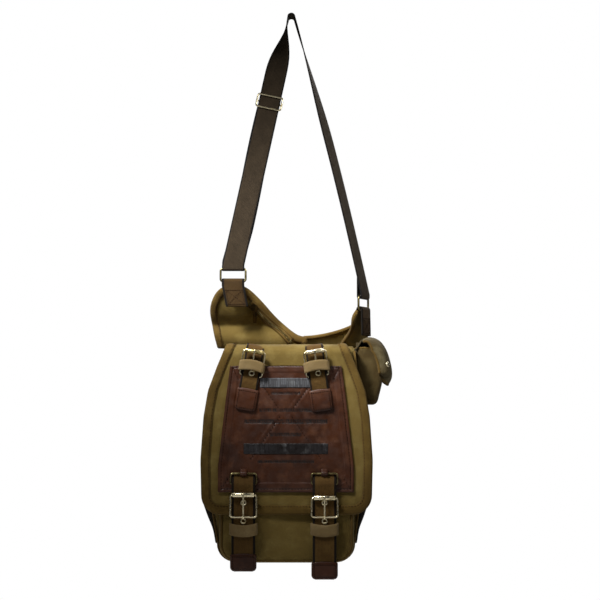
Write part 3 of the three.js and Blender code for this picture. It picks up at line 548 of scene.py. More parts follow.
# %% A node tree that repeats a body along a path
def repeat_tree(name, faces):
    """Bodies with `faces` segments, Pitch apart, of size Length by Width by Height."""
    tree = bpy.data.node_groups.new(name, "GeometryNodeTree")
    face = tree.interface
    face.new_socket("Geometry", in_out="INPUT", socket_type="NodeSocketGeometry")
    for label in ("Pitch", "Length", "Width", "Height"):
        face.new_socket(label, in_out="INPUT", socket_type="NodeSocketFloat")
    face.new_socket("Material", in_out="INPUT", socket_type="NodeSocketMaterial")
    face.new_socket("Geometry", in_out="OUTPUT", socket_type="NodeSocketGeometry")
    node, join = tree.nodes.new, tree.links.new
    entry, leave = node("NodeGroupInput"), node("NodeGroupOutput")
    to_curve, resample = node("GeometryNodeMeshToCurve"), node("GeometryNodeResampleCurve")
    resample.mode = "LENGTH"
    body, size = node("GeometryNodeMeshUVSphere"), node("ShaderNodeCombineXYZ")
    body.inputs["Segments"].default_value, body.inputs["Rings"].default_value = faces, 4
    body.inputs["Radius"].default_value = 0.5
    tangent, align = node("GeometryNodeInputTangent"), node("FunctionNodeAlignRotationToVector")
    align.axis = "X"
    place, real = node("GeometryNodeInstanceOnPoints"), node("GeometryNodeRealizeInstances")
    paint = node("GeometryNodeSetMaterial")
    join(entry.outputs["Geometry"], to_curve.inputs["Mesh"])
    join(to_curve.outputs["Curve"], resample.inputs["Curve"])
    join(entry.outputs["Pitch"], resample.inputs["Length"])
    join(resample.outputs["Curve"], place.inputs["Points"])
    join(body.outputs["Mesh"], place.inputs["Instance"])
    for label, axis in (("Length", "X"), ("Width", "Y"), ("Height", "Z")):
        join(entry.outputs[label], size.inputs[axis])
    join(size.outputs[0], place.inputs["Scale"])
    join(tangent.outputs[0], align.inputs["Vector"])
    join(align.outputs[0], place.inputs["Rotation"])
    join(place.outputs["Instances"], real.inputs[0])
    join(real.outputs[0], paint.inputs["Geometry"])
    join(entry.outputs["Material"], paint.inputs["Material"])
    join(paint.outputs["Geometry"], leave.inputs["Geometry"])
    return tree

# %% [markdown]
# A seam takes its path as a line of points. The tree runs on that line once, and the stitches that it
# makes are kept as plain mesh, which moves with its piece like any other.

# %% Sewing along a line
stitch_tree = repeat_tree("stitch_line", 6)


def repeat_along(name, paths, pitch, size, material, body, tree=stitch_tree):
    """Runs the tree along the paths and keeps the result as a plain mesh."""
    points, edges = [], []
    for path in paths:
        start = len(points)
        points += [tuple(map(float, p)) for p in path]
        edges += [(start + i, start + i + 1) for i in range(len(path) - 1)]
    mesh = bpy.data.meshes.new(name)
    mesh.from_pydata(points, edges, [])
    piece = bpy.data.objects.new(name, mesh)
    bpy.context.collection.objects.link(piece)
    modifier = piece.modifiers.new("repeat", "NODES")
    modifier.node_group = tree
    values = {"Pitch": pitch, "Length": size[0], "Width": size[1], "Height": size[2],
              "Material": material}
    for item in tree.interface.items_tree:
        if item.in_out == "INPUT" and item.name in values:
            modifier[item.identifier] = values[item.name]
    graph = bpy.context.evaluated_depsgraph_get()
    graph.update()
    plain = bpy.data.meshes.new_from_object(piece.evaluated_get(graph))
    piece.modifiers.remove(modifier)
    piece.data = plain
    plain.polygons.foreach_set("use_smooth", [True] * len(plain.polygons))
    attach(piece, body)
    return piece


STITCH = (0.0023, 0.0012, 0.0009)


def sew(name, paths, body, pitch=0.0042, size=STITCH, material=None):
    return repeat_along(name, paths, pitch, size, material or thread, body)

# %% [markdown]
# ## Flap
# The flap is one piece of canvas sewn at the bag's front edge. It rolls over that edge, widens as it
# hangs and has round lower corners. One function says how far forward the cloth stands at any
# place, so the tape round the edge, the leather patch and the straps can all lie on it.

# %% Flap surface
flap_low, flap_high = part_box("flap_binding")
FLAP_X = (flap_low[0] + flap_high[0]) / 2
FLAP_TOP, FLAP_BOTTOM = flap_high[2], flap_low[2]
FLAP_Y = (flap_low[1] + flap_high[1]) / 2
FLAP_CORNER = 0.026
FLAP_ROLL = 0.012
FLAP_THICK = 0.003
# half the flap's width at some depths below its top edge
FLAP_WIDTHS = ((0.0, 0.0835), (0.03, 0.096), (0.064, 0.1085), (0.1, 0.1145), (0.16, 0.1185),
               (0.234, 0.1165))


def flap_half(z):
    """Half the flap's width at a height, before its corners are rounded."""
    depths, halves = zip(*FLAP_WIDTHS)
    return float(np.interp(FLAP_TOP - z, depths, halves))


def flap_y(x, z):
    """How far forward the middle of the flap's cloth stands."""
    depth = FLAP_TOP - z
    u = (x - FLAP_X) / 0.118
    y = FLAP_Y + 0.0012 - 0.0022 * (1 - u * u) * ease(depth / 0.08)
    if depth < FLAP_ROLL:
        y += FLAP_ROLL - math.sqrt(max(FLAP_ROLL ** 2 - (FLAP_ROLL - depth) ** 2, 0))
    edge = ease((abs(u) - 0.6) / 0.4)
    y += 0.0016 * edge * ruffle(x, 0, z, 13, 1) + 0.0008 * ruffle(x, 0, z, 24, 2)
    return y


def raised(surface, x, z, lift):
    """A point `lift` outside a surface y = surface(x, z), measured square to it."""
    step = 0.0004
    over = (surface(x + step, z) - surface(x - step, z)) / (2 * step)
    up = (surface(x, z + step) - surface(x, z - step)) / (2 * step)
    length = math.sqrt(1 + over * over + up * up)
    return (x + lift * over / length, surface(x, z) - lift / length, z + lift * up / length)


def on_flap(x, z, lift=0.0):
    """A point on the flap, `lift` outside the middle of its cloth."""
    return raised(flap_y, x, z, lift)


def flap_grid(inset, rows, columns):
    """Points over the flap, `inset` in from its edge."""
    grid = np.zeros((rows, columns, 3))
    bottom = FLAP_BOTTOM + inset
    corner = FLAP_CORNER - inset * 0.5
    for r, t in enumerate(np.linspace(0, 1, rows)):
        z = FLAP_TOP + (bottom - FLAP_TOP) * (1 - (1 - t) ** 1.15)
        half = flap_half(z) - inset
        above = z - bottom
        if above < corner:
            half -= corner - math.sqrt(max(corner ** 2 - (corner - above) ** 2, 0))
        for c, u in enumerate(np.linspace(-1, 1, columns)):
            x = FLAP_X + u * half
            grid[r, c] = (x, flap_y(x, z), z)
    return grid


FLAP_INSET = 0.002           # the cloth's edge lies this far inside the tape
flap_cloth = sheet("flap_cloth", flap_grid(FLAP_INSET, 56, 49), FLAP_THICK, canvas, "flap")
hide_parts("flap_panel")
print("flap", flap_low, flap_high)


EDGE_STEPS = 42


def flap_outline(inset):
    """The flap's edge from top left round to top right."""
    points = []
    for t in np.linspace(0, 1, EDGE_STEPS):
        z = FLAP_TOP + (FLAP_BOTTOM + FLAP_CORNER - FLAP_TOP) * t ** 1.8
        points.append((FLAP_X - flap_half(z) + inset, z))
    centre_x = flap_half(FLAP_BOTTOM + FLAP_CORNER) - FLAP_CORNER
    centre_z = FLAP_BOTTOM + FLAP_CORNER
    radius = FLAP_CORNER - inset
    for i in range(1, 10):
        a = math.pi / 2 * i / 9
        points.append((FLAP_X - centre_x - radius * math.cos(a), centre_z - radius * math.sin(a)))
    for t in np.linspace(0, 1, 30)[1:]:
        points.append((FLAP_X - centre_x + 2 * centre_x * t, FLAP_BOTTOM + inset))
    mirrored = [(2 * FLAP_X - x, z) for x, z in reversed(points[:EDGE_STEPS + 9])]
    return points + mirrored[1:]

# %% [markdown]
# A tape is folded over the flap's raw edge and sewn through. Its section is swept along the edge, and
# each section stands square to the cloth, so the tape keeps to the cloth where it rolls over the top.

# %% Tape on the flap's edge
TAPE_WIDTH = 0.012
# the tape's section: (distance in from the edge, height above the cloth's middle)
TAPE_SECTION = ((TAPE_WIDTH, 0.0017), (TAPE_WIDTH, 0.0026), (0.007, 0.0029), (0.002, 0.0028),
                (-0.0008, 0.0018), (-0.0014, 0.0), (-0.0008, -0.0018), (0.002, -0.0026),
                (TAPE_WIDTH, -0.0024), (TAPE_WIDTH, -0.0017), (0.001, -0.0015), (0.0003, 0.0),
                (0.001, 0.0015))


def edge_tape(name, edge, inner, surface, material, body, section=TAPE_SECTION):
    """Tape folded round a cloth's edge. `edge` and `inner` are matching outlines, a unit apart."""
    points = []
    for (x, z), (ix, iz) in zip(edge, inner):
        length = math.hypot(ix - x, iz - z)
        dx, dz = (ix - x) / length, (iz - z) / length
        for inward, lift in section:
            points.append(raised(surface, x + dx * inward, z + dz * inward, lift))
    count = len(section)
    faces = quads(len(edge), count, wrap=True)
    faces.append(tuple(range(count)))
    faces.append(tuple(reversed(range(len(points) - count, len(points)))))
    return finish_mesh(name, points, faces, material, body)


flap_tape = edge_tape("flap_tape", flap_outline(0.0), flap_outline(TAPE_WIDTH), flap_y, tape, "flap")
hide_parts("flap_binding")
seam = [on_flap(x, z, 0.003) for x, z in flap_outline(TAPE_WIDTH - 0.0018)]
flap_seam = sew("flap_tape_seam", [seam], "flap")
print("tape seam", len(flap_seam.data.polygons), "faces")

# %% [markdown]
# ## Leather patch
# A thick waxed hide is sewn over the middle of the flap. It is wider at the bottom, has a turned and
# stitched border with mitred corners, and is pressed with plain bars. Strips of grey and black
# leather lie over it. The marks on them are only a worn pattern of dashes.

# %% Leather patch
patch_low, patch_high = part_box("leather_patch")
PATCH_X = (patch_low[0] + patch_high[0]) / 2
PATCH_TOP, PATCH_BOTTOM = patch_high[2], patch_low[2]
PATCH_THICK = 0.0019
PATCH_LIFT = FLAP_THICK / 2 + PATCH_THICK / 2 + 0.0002


def patch_half(z):
    """Half the patch's width at a height."""
    t = (PATCH_TOP - z) / (PATCH_TOP - PATCH_BOTTOM)
    return 0.077 + 0.017 * min(1.0, t * 1.25) ** 0.9


def patch_place(u, t):
    """A place on the patch: u from -1 to 1 across, t from 0 at the top to 1."""
    z = PATCH_TOP + (PATCH_BOTTOM - PATCH_TOP) * t
    x = PATCH_X + u * patch_half(z)
    z += 0.0028 * (1 - u * u) * (1 - t)
    return x, z


# pressed bars: middle of u, middle of t, half sizes in metres, and depth
PATCH_BARS = ((0.0, 0.235, 0.0210, 0.0026, 0.0008), (0.0, 0.365, 0.0385, 0.0028, 0.0007),
              (0.0, 0.455, 0.0590, 0.0036, 0.0010), (0.0, 0.555, 0.0225, 0.0026, 0.0007),
              (0.0, 0.765, 0.0400, 0.0026, 0.0008))


# ends of the sewn rays, as (u, t) pairs on the patch
PATCH_RAYS = (((-0.42, 0.16), (-0.13, 0.345)), ((0.42, 0.16), (0.13, 0.345)),
              ((-0.10, 0.42), (-0.52, 0.74)), ((0.10, 0.42), (0.52, 0.74)),
              ((-0.95, 0.024), (-0.83, 0.115)), ((0.95, 0.024), (0.83, 0.115)),
              ((-0.95, 0.976), (-0.86, 0.90)), ((0.95, 0.976), (0.86, 0.90)))


def from_ray(x, z, ray):
    """Distance from a place on the patch to a ray."""
    (ax, az), (bx, bz) = (patch_place(*end) for end in ray)
    along = ((x - ax) * (bx - ax) + (z - az) * (bz - az)) / ((bx - ax) ** 2 + (bz - az) ** 2)
    along = max(0.0, min(1.0, along))
    return math.hypot(x - ax - (bx - ax) * along, z - az - (bz - az) * along)


def dashes(x, z, half_z, middle_z):
    """A worn pattern of upright and level dashes that stands for pressed marks, 0 or 1."""
    cell = math.floor(x / 0.0031)
    within = x / 0.0031 - cell
    pick = ruffle(cell, middle_z * 90, 0, 1.37, 5)
    upright_mark = within < 0.34 or (pick > 0.05 and within > 0.66)
    level_mark = abs((z - middle_z) / half_z - (0.75 if pick > 0 else -0.7)) < 0.3
    return 1.0 if (upright_mark or level_mark) and pick > -0.42 else 0.0


def ink(x, z):
    """How dark the marks in the pressed bars are at a place."""
    shown = 0.0
    for _, middle_t, half_x, half_z, _ in PATCH_BARS:
        _, middle_z = patch_place(0.0, middle_t)
        if abs(x - PATCH_X) < half_x - 0.001 and abs(z - middle_z) < half_z * 0.85:
            shown = max(shown, 0.4 + 0.55 * dashes(x, z, half_z, middle_z))
    return shown


def pressed(x, z, u, t):
    """How deep the patch is pressed in at a place."""
    depth = 0.0
    for _, middle_t, half_x, half_z, deep in PATCH_BARS:
        _, middle_z = patch_place(0.0, middle_t)
        inside = min(half_x - abs(x - PATCH_X), half_z - abs(z - middle_z))
        depth += 0.6 * deep * ease(inside / 0.0018) * (0.7 + 0.3 * dashes(x, z, half_z, middle_z))
    nearest = min(from_ray(x, z, ray) for ray in PATCH_RAYS)
    depth += 0.0005 * ease(1 - nearest / 0.0018) - 0.0003 * ease(1 - abs(nearest - 0.004) / 0.0028)
    border = min((1 - abs(u)) * patch_half(z), t * 0.176, (1 - t) * 0.176)
    depth -= 0.0007 * ease((0.0135 - border) / 0.002)
    depth += 0.0009 * ease(1 - abs(border - 0.0042) / 0.0014)
    return depth

# %% [markdown]
# The patch is one fine grid. Its bars, its sewn rays and its turned border are pressed into it by
# moving points along the normal of the flap, as a stamp would, so light catches their edges.

# %% Patch hide
def patch_grid(rows, columns):
    grid = np.zeros((rows, columns, 3))
    for r, t in enumerate(np.linspace(0, 1, rows)):
        for c, u in enumerate(np.linspace(-1, 1, columns)):
            x, z = patch_place(u, t)
            lift = PATCH_LIFT - pressed(x, z, u, t) + 0.0005 * ruffle(x, 0, z, 45, 9)
            grid[r, c] = on_flap(x, z, lift)
    return grid


patch_points = patch_grid(190, 230)
patch = sheet("patch", patch_points, PATCH_THICK, leather, "flap")
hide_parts("leather_patch")


def blacken(piece, amounts):
    """Keeps how dark each point of a sheet's grid is pressed, for its leather to read."""
    marks = piece.data.attributes.new("pressed", "FLOAT", "POINT")
    values = np.zeros(len(piece.data.vertices))
    values[:2 * len(amounts)] = np.tile(amounts, 2)
    marks.data.foreach_set("value", values.astype(np.float32))


blacken(patch, [ink(x, z) for x, _, z in patch_points.reshape(-1, 3)])
print("patch", len(patch.data.polygons), "faces, wide at the bottom", 2 * patch_half(PATCH_BOTTOM))

# %% [markdown]
# Two strips of other leather lie across the hide. A dark seam runs inside the border and along the
# rays, one stitch at a time.

# %% Strips and seams on the patch
def patch_strip(name, t_middle, half_x, half_z, material, rows=16, columns=110):
    """A strip of leather laid across the patch, pressed with worn dashes."""
    grid = np.zeros((rows, columns, 3))
    _, middle_z = patch_place(0.0, t_middle)
    for r, v in enumerate(np.linspace(-1, 1, rows)):
        for c, u in enumerate(np.linspace(-1, 1, columns)):
            x = PATCH_X + u * half_x
            z = middle_z - v * half_z
            worn = ruffle(x, 0, 0, 380, 3) * 0.00035 * (1 - v ** 4)
            grid[r, c] = on_flap(x, z, PATCH_LIFT + PATCH_THICK / 2 + 0.0004 + worn)
    piece = sheet(name, grid, 0.0011, material, "flap")
    blacken(piece, [0.5 * dashes(x, z, half_z, middle_z) for x, _, z in grid.reshape(-1, 3)])


patch_strip("patch_strip_upper", 0.155, 0.0357, 0.0062, faded_leather)
patch_strip("patch_strip_lower", 0.665, 0.0580, 0.0068, black_leather)


def patch_line(u0, t0, u1, t1, steps=24):
    """A straight line of points just above the patch."""
    line = []
    for k in np.linspace(0, 1, steps):
        x, z = patch_place(u0 + (u1 - u0) * k, t0 + (t1 - t0) * k)
        line.append(on_flap(x, z, PATCH_LIFT + PATCH_THICK / 2 + 0.0003))
    return line


side, end = 1 - 0.05, 0.024
border = [patch_line(-side, end, side, end, 40), patch_line(side, end, side, 1 - end, 50),
          patch_line(side, 1 - end, -side, 1 - end, 40), patch_line(-side, 1 - end, -side, end, 50)]
sew("patch_border_seam", border, "flap")
sew("patch_ray_seam", [patch_line(*start, *end) for start, end in PATCH_RAYS], "flap")
print("patch border", sum(run_length(np.array(line)) for line in border), "m of seam")

# %% [markdown]
# ## Body
# The body is one sewn shell that sags: rings of cloth from the rim down, rounded at the bottom
# corners, with slack waves in the canvas. Piping covers the seams of its front and back.

# %% Lofted pouches
MM = 0.001
shell_low, shell_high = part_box("front_panel")
BODY_X = (shell_low[0] + shell_high[0]) / 2
BODY_FRONT = shell_low[1]
BODY_BOTTOM = shell_low[2]
BODY_TOP = shell_high[2]
BODY_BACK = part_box("back_panel")[1][1]
BODY_HALF = (shell_high[0] - shell_low[0]) / 2
BODY_CORNER = 0.025


def ring_of(x0, x1, y0, y1, corner, steps=8, along=10):
    """Points once round a rectangle with round corners, seen from above."""
    corner = max(min(corner, (x1 - x0) / 2 - 1e-4, (y1 - y0) / 2 - 1e-4), 1e-4)
    corners = ((x1, y1), (x0, y1), (x0, y0), (x1, y0))
    inside = ((-1, -1), (1, -1), (1, 1), (-1, 1))
    arcs = []
    for k, ((x, y), (sx, sy)) in enumerate(zip(corners, inside)):
        arcs.append([(x + sx * corner + corner * math.cos(math.pi / 2 * (k + i / steps)),
                      y + sy * corner + corner * math.sin(math.pi / 2 * (k + i / steps)))
                     for i in range(steps + 1)])
    points = []
    for k, arc in enumerate(arcs):
        points += arc
        end, start = arc[-1], arcs[(k + 1) % 4][0]
        points += [(end[0] + (start[0] - end[0]) * i / along, end[1] + (start[1] - end[1]) * i / along)
                   for i in range(1, along)]
    return points


def pouch(name, levels, wall, material, body, slack=0.001, seed=1, bulge=0.0):
    """A pouch open at the top. Each level is (z, x0, x1, y0, y1, corner); the last one is its floor."""
    outer = []
    for z, x0, x1, y0, y1, corner in levels:
        outer.append([(x, y, z) for x, y in ring_of(x0, x1, y0, y1, corner)])
    outer = np.array(outer)
    middle = outer.mean(axis=1, keepdims=True)
    top, bottom = levels[0][0], levels[-1][0]
    for r in range(len(outer)):
        t = (top - outer[r, 0, 2]) / (top - bottom)
        belly = math.sin(math.pi * min(t, 1)) ** 0.7 if 0 < t < 1 else 0
        for c in range(outer.shape[1]):
            x, y, z = outer[r, c]
            away = outer[r, c] - middle[r, 0]
            away[2] = 0
            away /= max(np.linalg.norm(away), 1e-9)
            flat = 1 - abs(y - middle[r, 0, 1]) / max(np.ptp(outer[r, :, 1]) / 2, 1e-9)
            move = slack * ruffle(x, y, z, 16, seed) + slack * 0.5 * ruffle(x, y, z, 38, seed + 1)
            outer[r, c] += away * belly * (move + bulge * max(flat, 0))
    inner = outer.copy()
    for r in range(len(outer)):
        for c in range(outer.shape[1]):
            away = outer[r, c] - middle[r, 0]
            away[2] = 0
            inner[r, c] -= away / max(np.linalg.norm(away), 1e-9) * wall
    inner[-1, :, 2] += wall
    count, around = outer.shape[0] * outer.shape[1], outer.shape[1]
    points = np.vstack([outer.reshape(-1, 3), inner.reshape(-1, 3)])
    faces = quads(outer.shape[0], around, wrap=True)
    faces += [tuple(reversed([n + count for n in f])) for f in faces[:]]
    for c in range(around):
        faces.append((c, (c + 1) % around, count + (c + 1) % around, count + c))
    faces.append(tuple(range(count - around, count)))
    faces.append(tuple(reversed(range(2 * count - around, 2 * count))))
    piece = finish_mesh(name, points, faces, material, body)
    steps = np.linalg.norm(np.diff(outer, axis=1), axis=2).sum(axis=1).mean()
    tall = np.linalg.norm(np.diff(outer, axis=0), axis=2).sum(axis=0).mean()
    return piece, (steps, tall)

# %% [markdown]
# The shell is lofted from rings that follow the outline of the body. The front leans out above the
# pocket, so that no gap is left behind the flap.

# %% Body shell
# how far each side of the body stands from its middle, by depth below its top
SIDE_DEPTHS = (0.0, 0.032, 0.072, 0.132, 0.215, 0.274)
LEFT_REACH = (0.086, 0.093, 0.100, BODY_HALF, BODY_HALF, 0.096)
RIGHT_REACH = (0.098, 0.101, 0.104, BODY_HALF, BODY_HALF, 0.098)


def body_half(z, side):
    """How far the body reaches to the left (-1) or right (1), before its corners are rounded."""
    return float(np.interp(BODY_TOP - z, SIDE_DEPTHS, LEFT_REACH if side < 0 else RIGHT_REACH))


LEAN_FROM, LEAN_OVER, LEAN_OUT = -0.568, 0.055, 0.023


def body_front(z):
    """The front leans out above the pocket, to meet the lid's front edge."""
    return BODY_FRONT - LEAN_OUT * ease((z - LEAN_FROM) / LEAN_OVER)


def body_levels(count=46):
    levels = []
    low = BODY_BOTTOM + BODY_CORNER
    for z in np.linspace(BODY_TOP, low, count):
        levels.append((z, BODY_X - body_half(z, -1), BODY_X + body_half(z, 1),
                       body_front(z), BODY_BACK, 0.009))
    for i in range(1, 11):
        a = math.pi / 2 * i / 10
        pull = BODY_CORNER * (1 - math.cos(a))
        tuck = 0.008 * max(0, math.sin(a) - 0.7) / 0.3
        z = low - BODY_CORNER * math.sin(a)
        levels.append((z, BODY_X - LEFT_REACH[-1] + pull, BODY_X + RIGHT_REACH[-1] - pull, BODY_FRONT + tuck,
                       BODY_BACK - tuck, 0.009))
    return levels


shell, shell_size = pouch("body_shell", body_levels(), 0.0026, canvas, "bag", 0.0016, 3)
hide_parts("front_panel", "back_panel", "left_gusset", "right_gusset", "bottom_panel")
print("body shell cut", shell_size)

# %% [markdown]
# Piping is a cord in a strip of tape. It is sewn into the seams round the front and the back, and
# keeps the edges of the soft body straight.

# %% Piping
def body_outline(inset=0.0):
    """The body's outline from the top left round the bottom to the top right."""
    low = BODY_BOTTOM + BODY_CORNER
    halves = []
    for side, reach in ((-1, LEFT_REACH[-1]), (1, RIGHT_REACH[-1])):
        run = [(BODY_X + side * (body_half(z, side) - inset), z)
               for z in np.linspace(BODY_TOP - 0.004, low, 24)]
        for i in range(1, 9):
            a = math.pi / 2 * i / 8
            run.append((BODY_X + side * (reach - BODY_CORNER + (BODY_CORNER - inset) * math.cos(a)),
                        low - (BODY_CORNER - inset) * math.sin(a)))
        halves.append(run)
    return halves[0] + halves[1][::-1]


for label, place in (("front", body_front), ("back", lambda z: BODY_BACK)):
    rod = [(x, place(z), z) for x, z in body_outline(0.0015)]
    wire("piping_" + label, [(rod, False)], 0.0017, tape, "bag", sides=8)
    print("piping", label, run_length(np.array(rod)), "m")

# %% [markdown]
# ## Padding inside
# Foam boards covered with brushed cloth stand against the front and back, and two dividers part the
# space for a camera and lenses. Foam is thickest in the middle of a board and pinched at its edge.

# %% Pads
PAD_MARGIN = 0.0095          # a pad's ends stay this far inside the outline of the body


def pad(name, node, flat_axis):
    """A foam board that fills the node's box and is pinched at its edges."""
    low, high = (np.array(v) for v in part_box(node))
    others = [i for i in range(3) if i != flat_axis]
    rows, columns = 26, 26
    grid = np.zeros((rows, columns, 3))
    swell = np.zeros((rows, columns))
    for r, v in enumerate(np.linspace(-1, 1, rows)):
        for c, u in enumerate(np.linspace(-1, 1, columns)):
            place = (low + high) / 2
            size = (high - low) / 2
            pinch = 1 - 0.012 * abs(v) ** 6
            place[others[0]] += u * size[others[0]] * pinch
            place[others[1]] -= v * size[others[1]]
            if flat_axis == 1:
                height = place[2]
                place[0] = max(place[0], BODY_X - body_half(height, -1) + PAD_MARGIN)
                place[0] = min(place[0], BODY_X + body_half(height, 1) - PAD_MARGIN)
            grid[r, c] = place
            swell[r, c] = 0.45 + 0.55 * ((1 - u ** 8) * (1 - v ** 8)) ** 0.5
    thick = (high - low)[flat_axis] * 0.96
    piece = sheet(name, grid, thick, lining, "bag")
    for vertex in piece.data.vertices[:2 * rows * columns]:
        r, c = divmod(vertex.index % (rows * columns), columns)
        middle = grid[r, c, flat_axis]
        vertex.co[flat_axis] = middle + (vertex.co[flat_axis] - middle) * swell[r, c]
    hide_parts(node)
    return piece


pad("pad_front", "insert_front", 1)
pad("pad_back", "insert_back", 1)
pad("divider_pad_left", "divider_left", 0)
pad("divider_pad_right", "divider_right", 0)

# %% [markdown]
# ## Wings
# The back of the bag runs up into two padded ears that carry the strap. The left one is tall, leans
# forward and creases under its tab, and its inner edge slants down to the middle of the bag. The
# right one is a tongue that turns to face the side. Tape binds both of them.

# %% Left wing
SEAM_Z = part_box("back_panel")[1][2]
WING_MIDDLE = BODY_BACK - 0.002
CREASE_Z = -0.449
# outline of the left wing, from its outer foot over the top to its inner foot, in mm
WING_EDGE = ((-107, -484), (-112, -464), (-117, -440), (-117, -425), (-111, -410), (-103, -401),
             (-93, -397), (-72, -397), (-62, -401), (-44, -418), (-25, -440), (-8, -455),
             (6, -466), (14, -469), (22, -470), (24, -484))


def smooth_line(points, steps, rounds=2):
    """Points along a polyline at even steps, its corners eased."""
    points = np.array(points, float)
    for _ in range(rounds):
        cut = [points[0]]
        for a, b in zip(points[:-1], points[1:]):
            cut += [a * 0.75 + b * 0.25, a * 0.25 + b * 0.75]
        points = np.array(cut + [points[-1]])
    along = np.concatenate([[0], np.linalg.norm(np.diff(points, axis=0), axis=1).cumsum()])
    even = np.linspace(0, along[-1], steps)
    return np.stack([np.interp(even, along, points[:, i]) for i in range(points.shape[1])], axis=1)


wing_line = smooth_line(np.array(WING_EDGE) * MM, 120)


def wing_y(x, z):
    """The middle of the left wing's padding."""
    rise = max(0.0, z - SEAM_Z)
    y = WING_MIDDLE - 0.5 * rise
    y += 0.0065 * math.exp(-((z - CREASE_Z) / 0.010) ** 2) * ease((-0.02 - x) / 0.05)
    y -= 0.012 * ease((CREASE_Z - z) / 0.026)
    y += 0.0016 * ruffle(x, 0, z, 30, 4)
    return y


def line_offset(line, distance):
    """The line moved sideways, to its right as it runs."""
    step = np.gradient(line, axis=0)
    step /= np.maximum(np.linalg.norm(step, axis=1, keepdims=True), 1e-9)
    return line + np.stack([step[:, 1], -step[:, 0]], axis=1) * distance


def wing_grid(rows, columns, inset):
    inner = line_offset(wing_line, inset)
    top = inner[:, 1].max() - 1e-4
    peak = int(np.argmax(inner[:, 1]))
    left, right = inner[:peak + 1], inner[peak:]
    grid = np.zeros((rows, columns, 3))
    for r, t in enumerate(np.linspace(0, 1, rows)):
        z = top + (SEAM_Z - top) * t
        x0 = float(np.interp(z, left[:, 1], left[:, 0]))
        x1 = float(np.interp(-z, -right[:, 1], right[:, 0]))
        for c, u in enumerate(np.linspace(0, 1, columns)):
            x = x0 + (x1 - x0) * u
            grid[r, c] = (x, wing_y(x, z), z)
    return grid


WING_THICK = 0.0046
left_wing = sheet("wing_left", wing_grid(60, 44, 0.001), WING_THICK, canvas, "bag")
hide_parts("left_wing")
print("left wing edge", run_length(wing_line), "m")

# %% [markdown]
# The wing's edge is bound like the flap's, with a narrower tape.

# %% Tape on the left wing
def tape_section(width, half):
    """Section of a tape folded round an edge that is 2 x half thick."""
    return ((width, half), (width, half + 0.0009), (width * 0.6, half + 0.0012), (0.002, half + 0.0011),
            (-0.0008, half * 0.8), (-0.0014, 0.0), (-0.0008, -half * 0.8), (0.002, -half - 0.0010),
            (width, -half - 0.0009), (width, -half), (0.001, -half), (0.0003, 0.0), (0.001, half))


wing_tape = edge_tape("wing_tape", wing_line, line_offset(wing_line, 0.01), wing_y, tape, "bag",
                      tape_section(0.009, WING_THICK / 2))
seam = [raised(wing_y, x, z, WING_THICK / 2 + 0.001) for x, z in line_offset(wing_line, 0.0075)]
sew("wing_tape_seam", [seam], "bag")

# %% [markdown]
# A zip runs just inside the slanted edge and opens the back pocket. Its teeth are one small bead
# after another on both sides of the gap. The slider and its hanging pull are cast metal.

# %% Zip
ZIP_FROM = np.array((-0.0600, -0.4200))
ZIP_TO = np.array((-0.0005, -0.4745))


def zip_line(shift, steps=60, lift=0.0):
    along = (ZIP_TO - ZIP_FROM) / np.linalg.norm(ZIP_TO - ZIP_FROM)
    side = np.array((along[1], -along[0]))
    points = [ZIP_FROM + (ZIP_TO - ZIP_FROM) * t + side * shift for t in np.linspace(0, 1, steps)]
    return [raised(wing_y, x, z, WING_THICK / 2 + lift) for x, z in points]


zip_cloth = sheet("zip_cloth", np.array([zip_line(s, lift=0.0010) for s in np.linspace(-0.005, 0.005, 7)]),
                  0.0012, tape, "bag")
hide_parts("zip_tape")
sew("zip_seam", [zip_line(s, lift=0.0018) for s in (-0.0043, 0.0043)], "bag", pitch=0.003)
TOOTH_PITCH = 0.0019
repeat_along("zip_teeth", [zip_line(s, 80, 0.0020) for s in (-0.0009, 0.0009)], TOOTH_PITCH,
             (0.0011, 0.0022, 0.0016), bronze, "bag")
print("zip", np.linalg.norm(ZIP_TO - ZIP_FROM) / TOOTH_PITCH, "teeth a side")

# %% [markdown]
# The right wing is lofted from its foot on the back up to the ring, turning as it rises. A low
# crest of canvas joins the two wings along the top of the back.

# %% Right wing and crest
# height, middle x, middle y, half width and turn from the front, in mm and degrees
RIGHT_WING = ((-484, 88, 44, 15, 0), (-474, 92, 40, 15, 12), (-466, 97, 32, 14.5, 26),
              (-459, 100, 23, 16.5, 44), (-452, 99.5, 15, 19.5, 58), (-444, 98.5, 9, 20.5, 63),
              (-437, 100, 6, 18, 65), (-431.5, 101.5, 4.5, 12, 65))
levels = smooth_line(np.array(RIGHT_WING, float), 34, 2)


def right_wing_point(level, u):
    z, x, y, half, turn = level
    a = math.radians(turn)
    return (x + u * half * math.cos(a), y + u * half * math.sin(a), z)


right_grid = np.array([[[v * MM for v in right_wing_point(level, u)] for u in np.linspace(-1, 1, 24)]
                       for level in levels])
right_grid = right_grid[::-1]
right_wing = sheet("wing_right", right_grid, 0.0044, canvas, "bag")
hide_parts("right_wing")
print("right wing", len(levels), "levels")
edge = list(right_grid[::-1, 0]) + list(right_grid[0, 1:-1]) + list(right_grid[:, -1])
wire("wing_right_piping", [(edge, False)], 0.0031, tape, "bag", sides=10)

# %% [markdown]
# The crest is a low strip between the two wings, with a thick rolled edge.

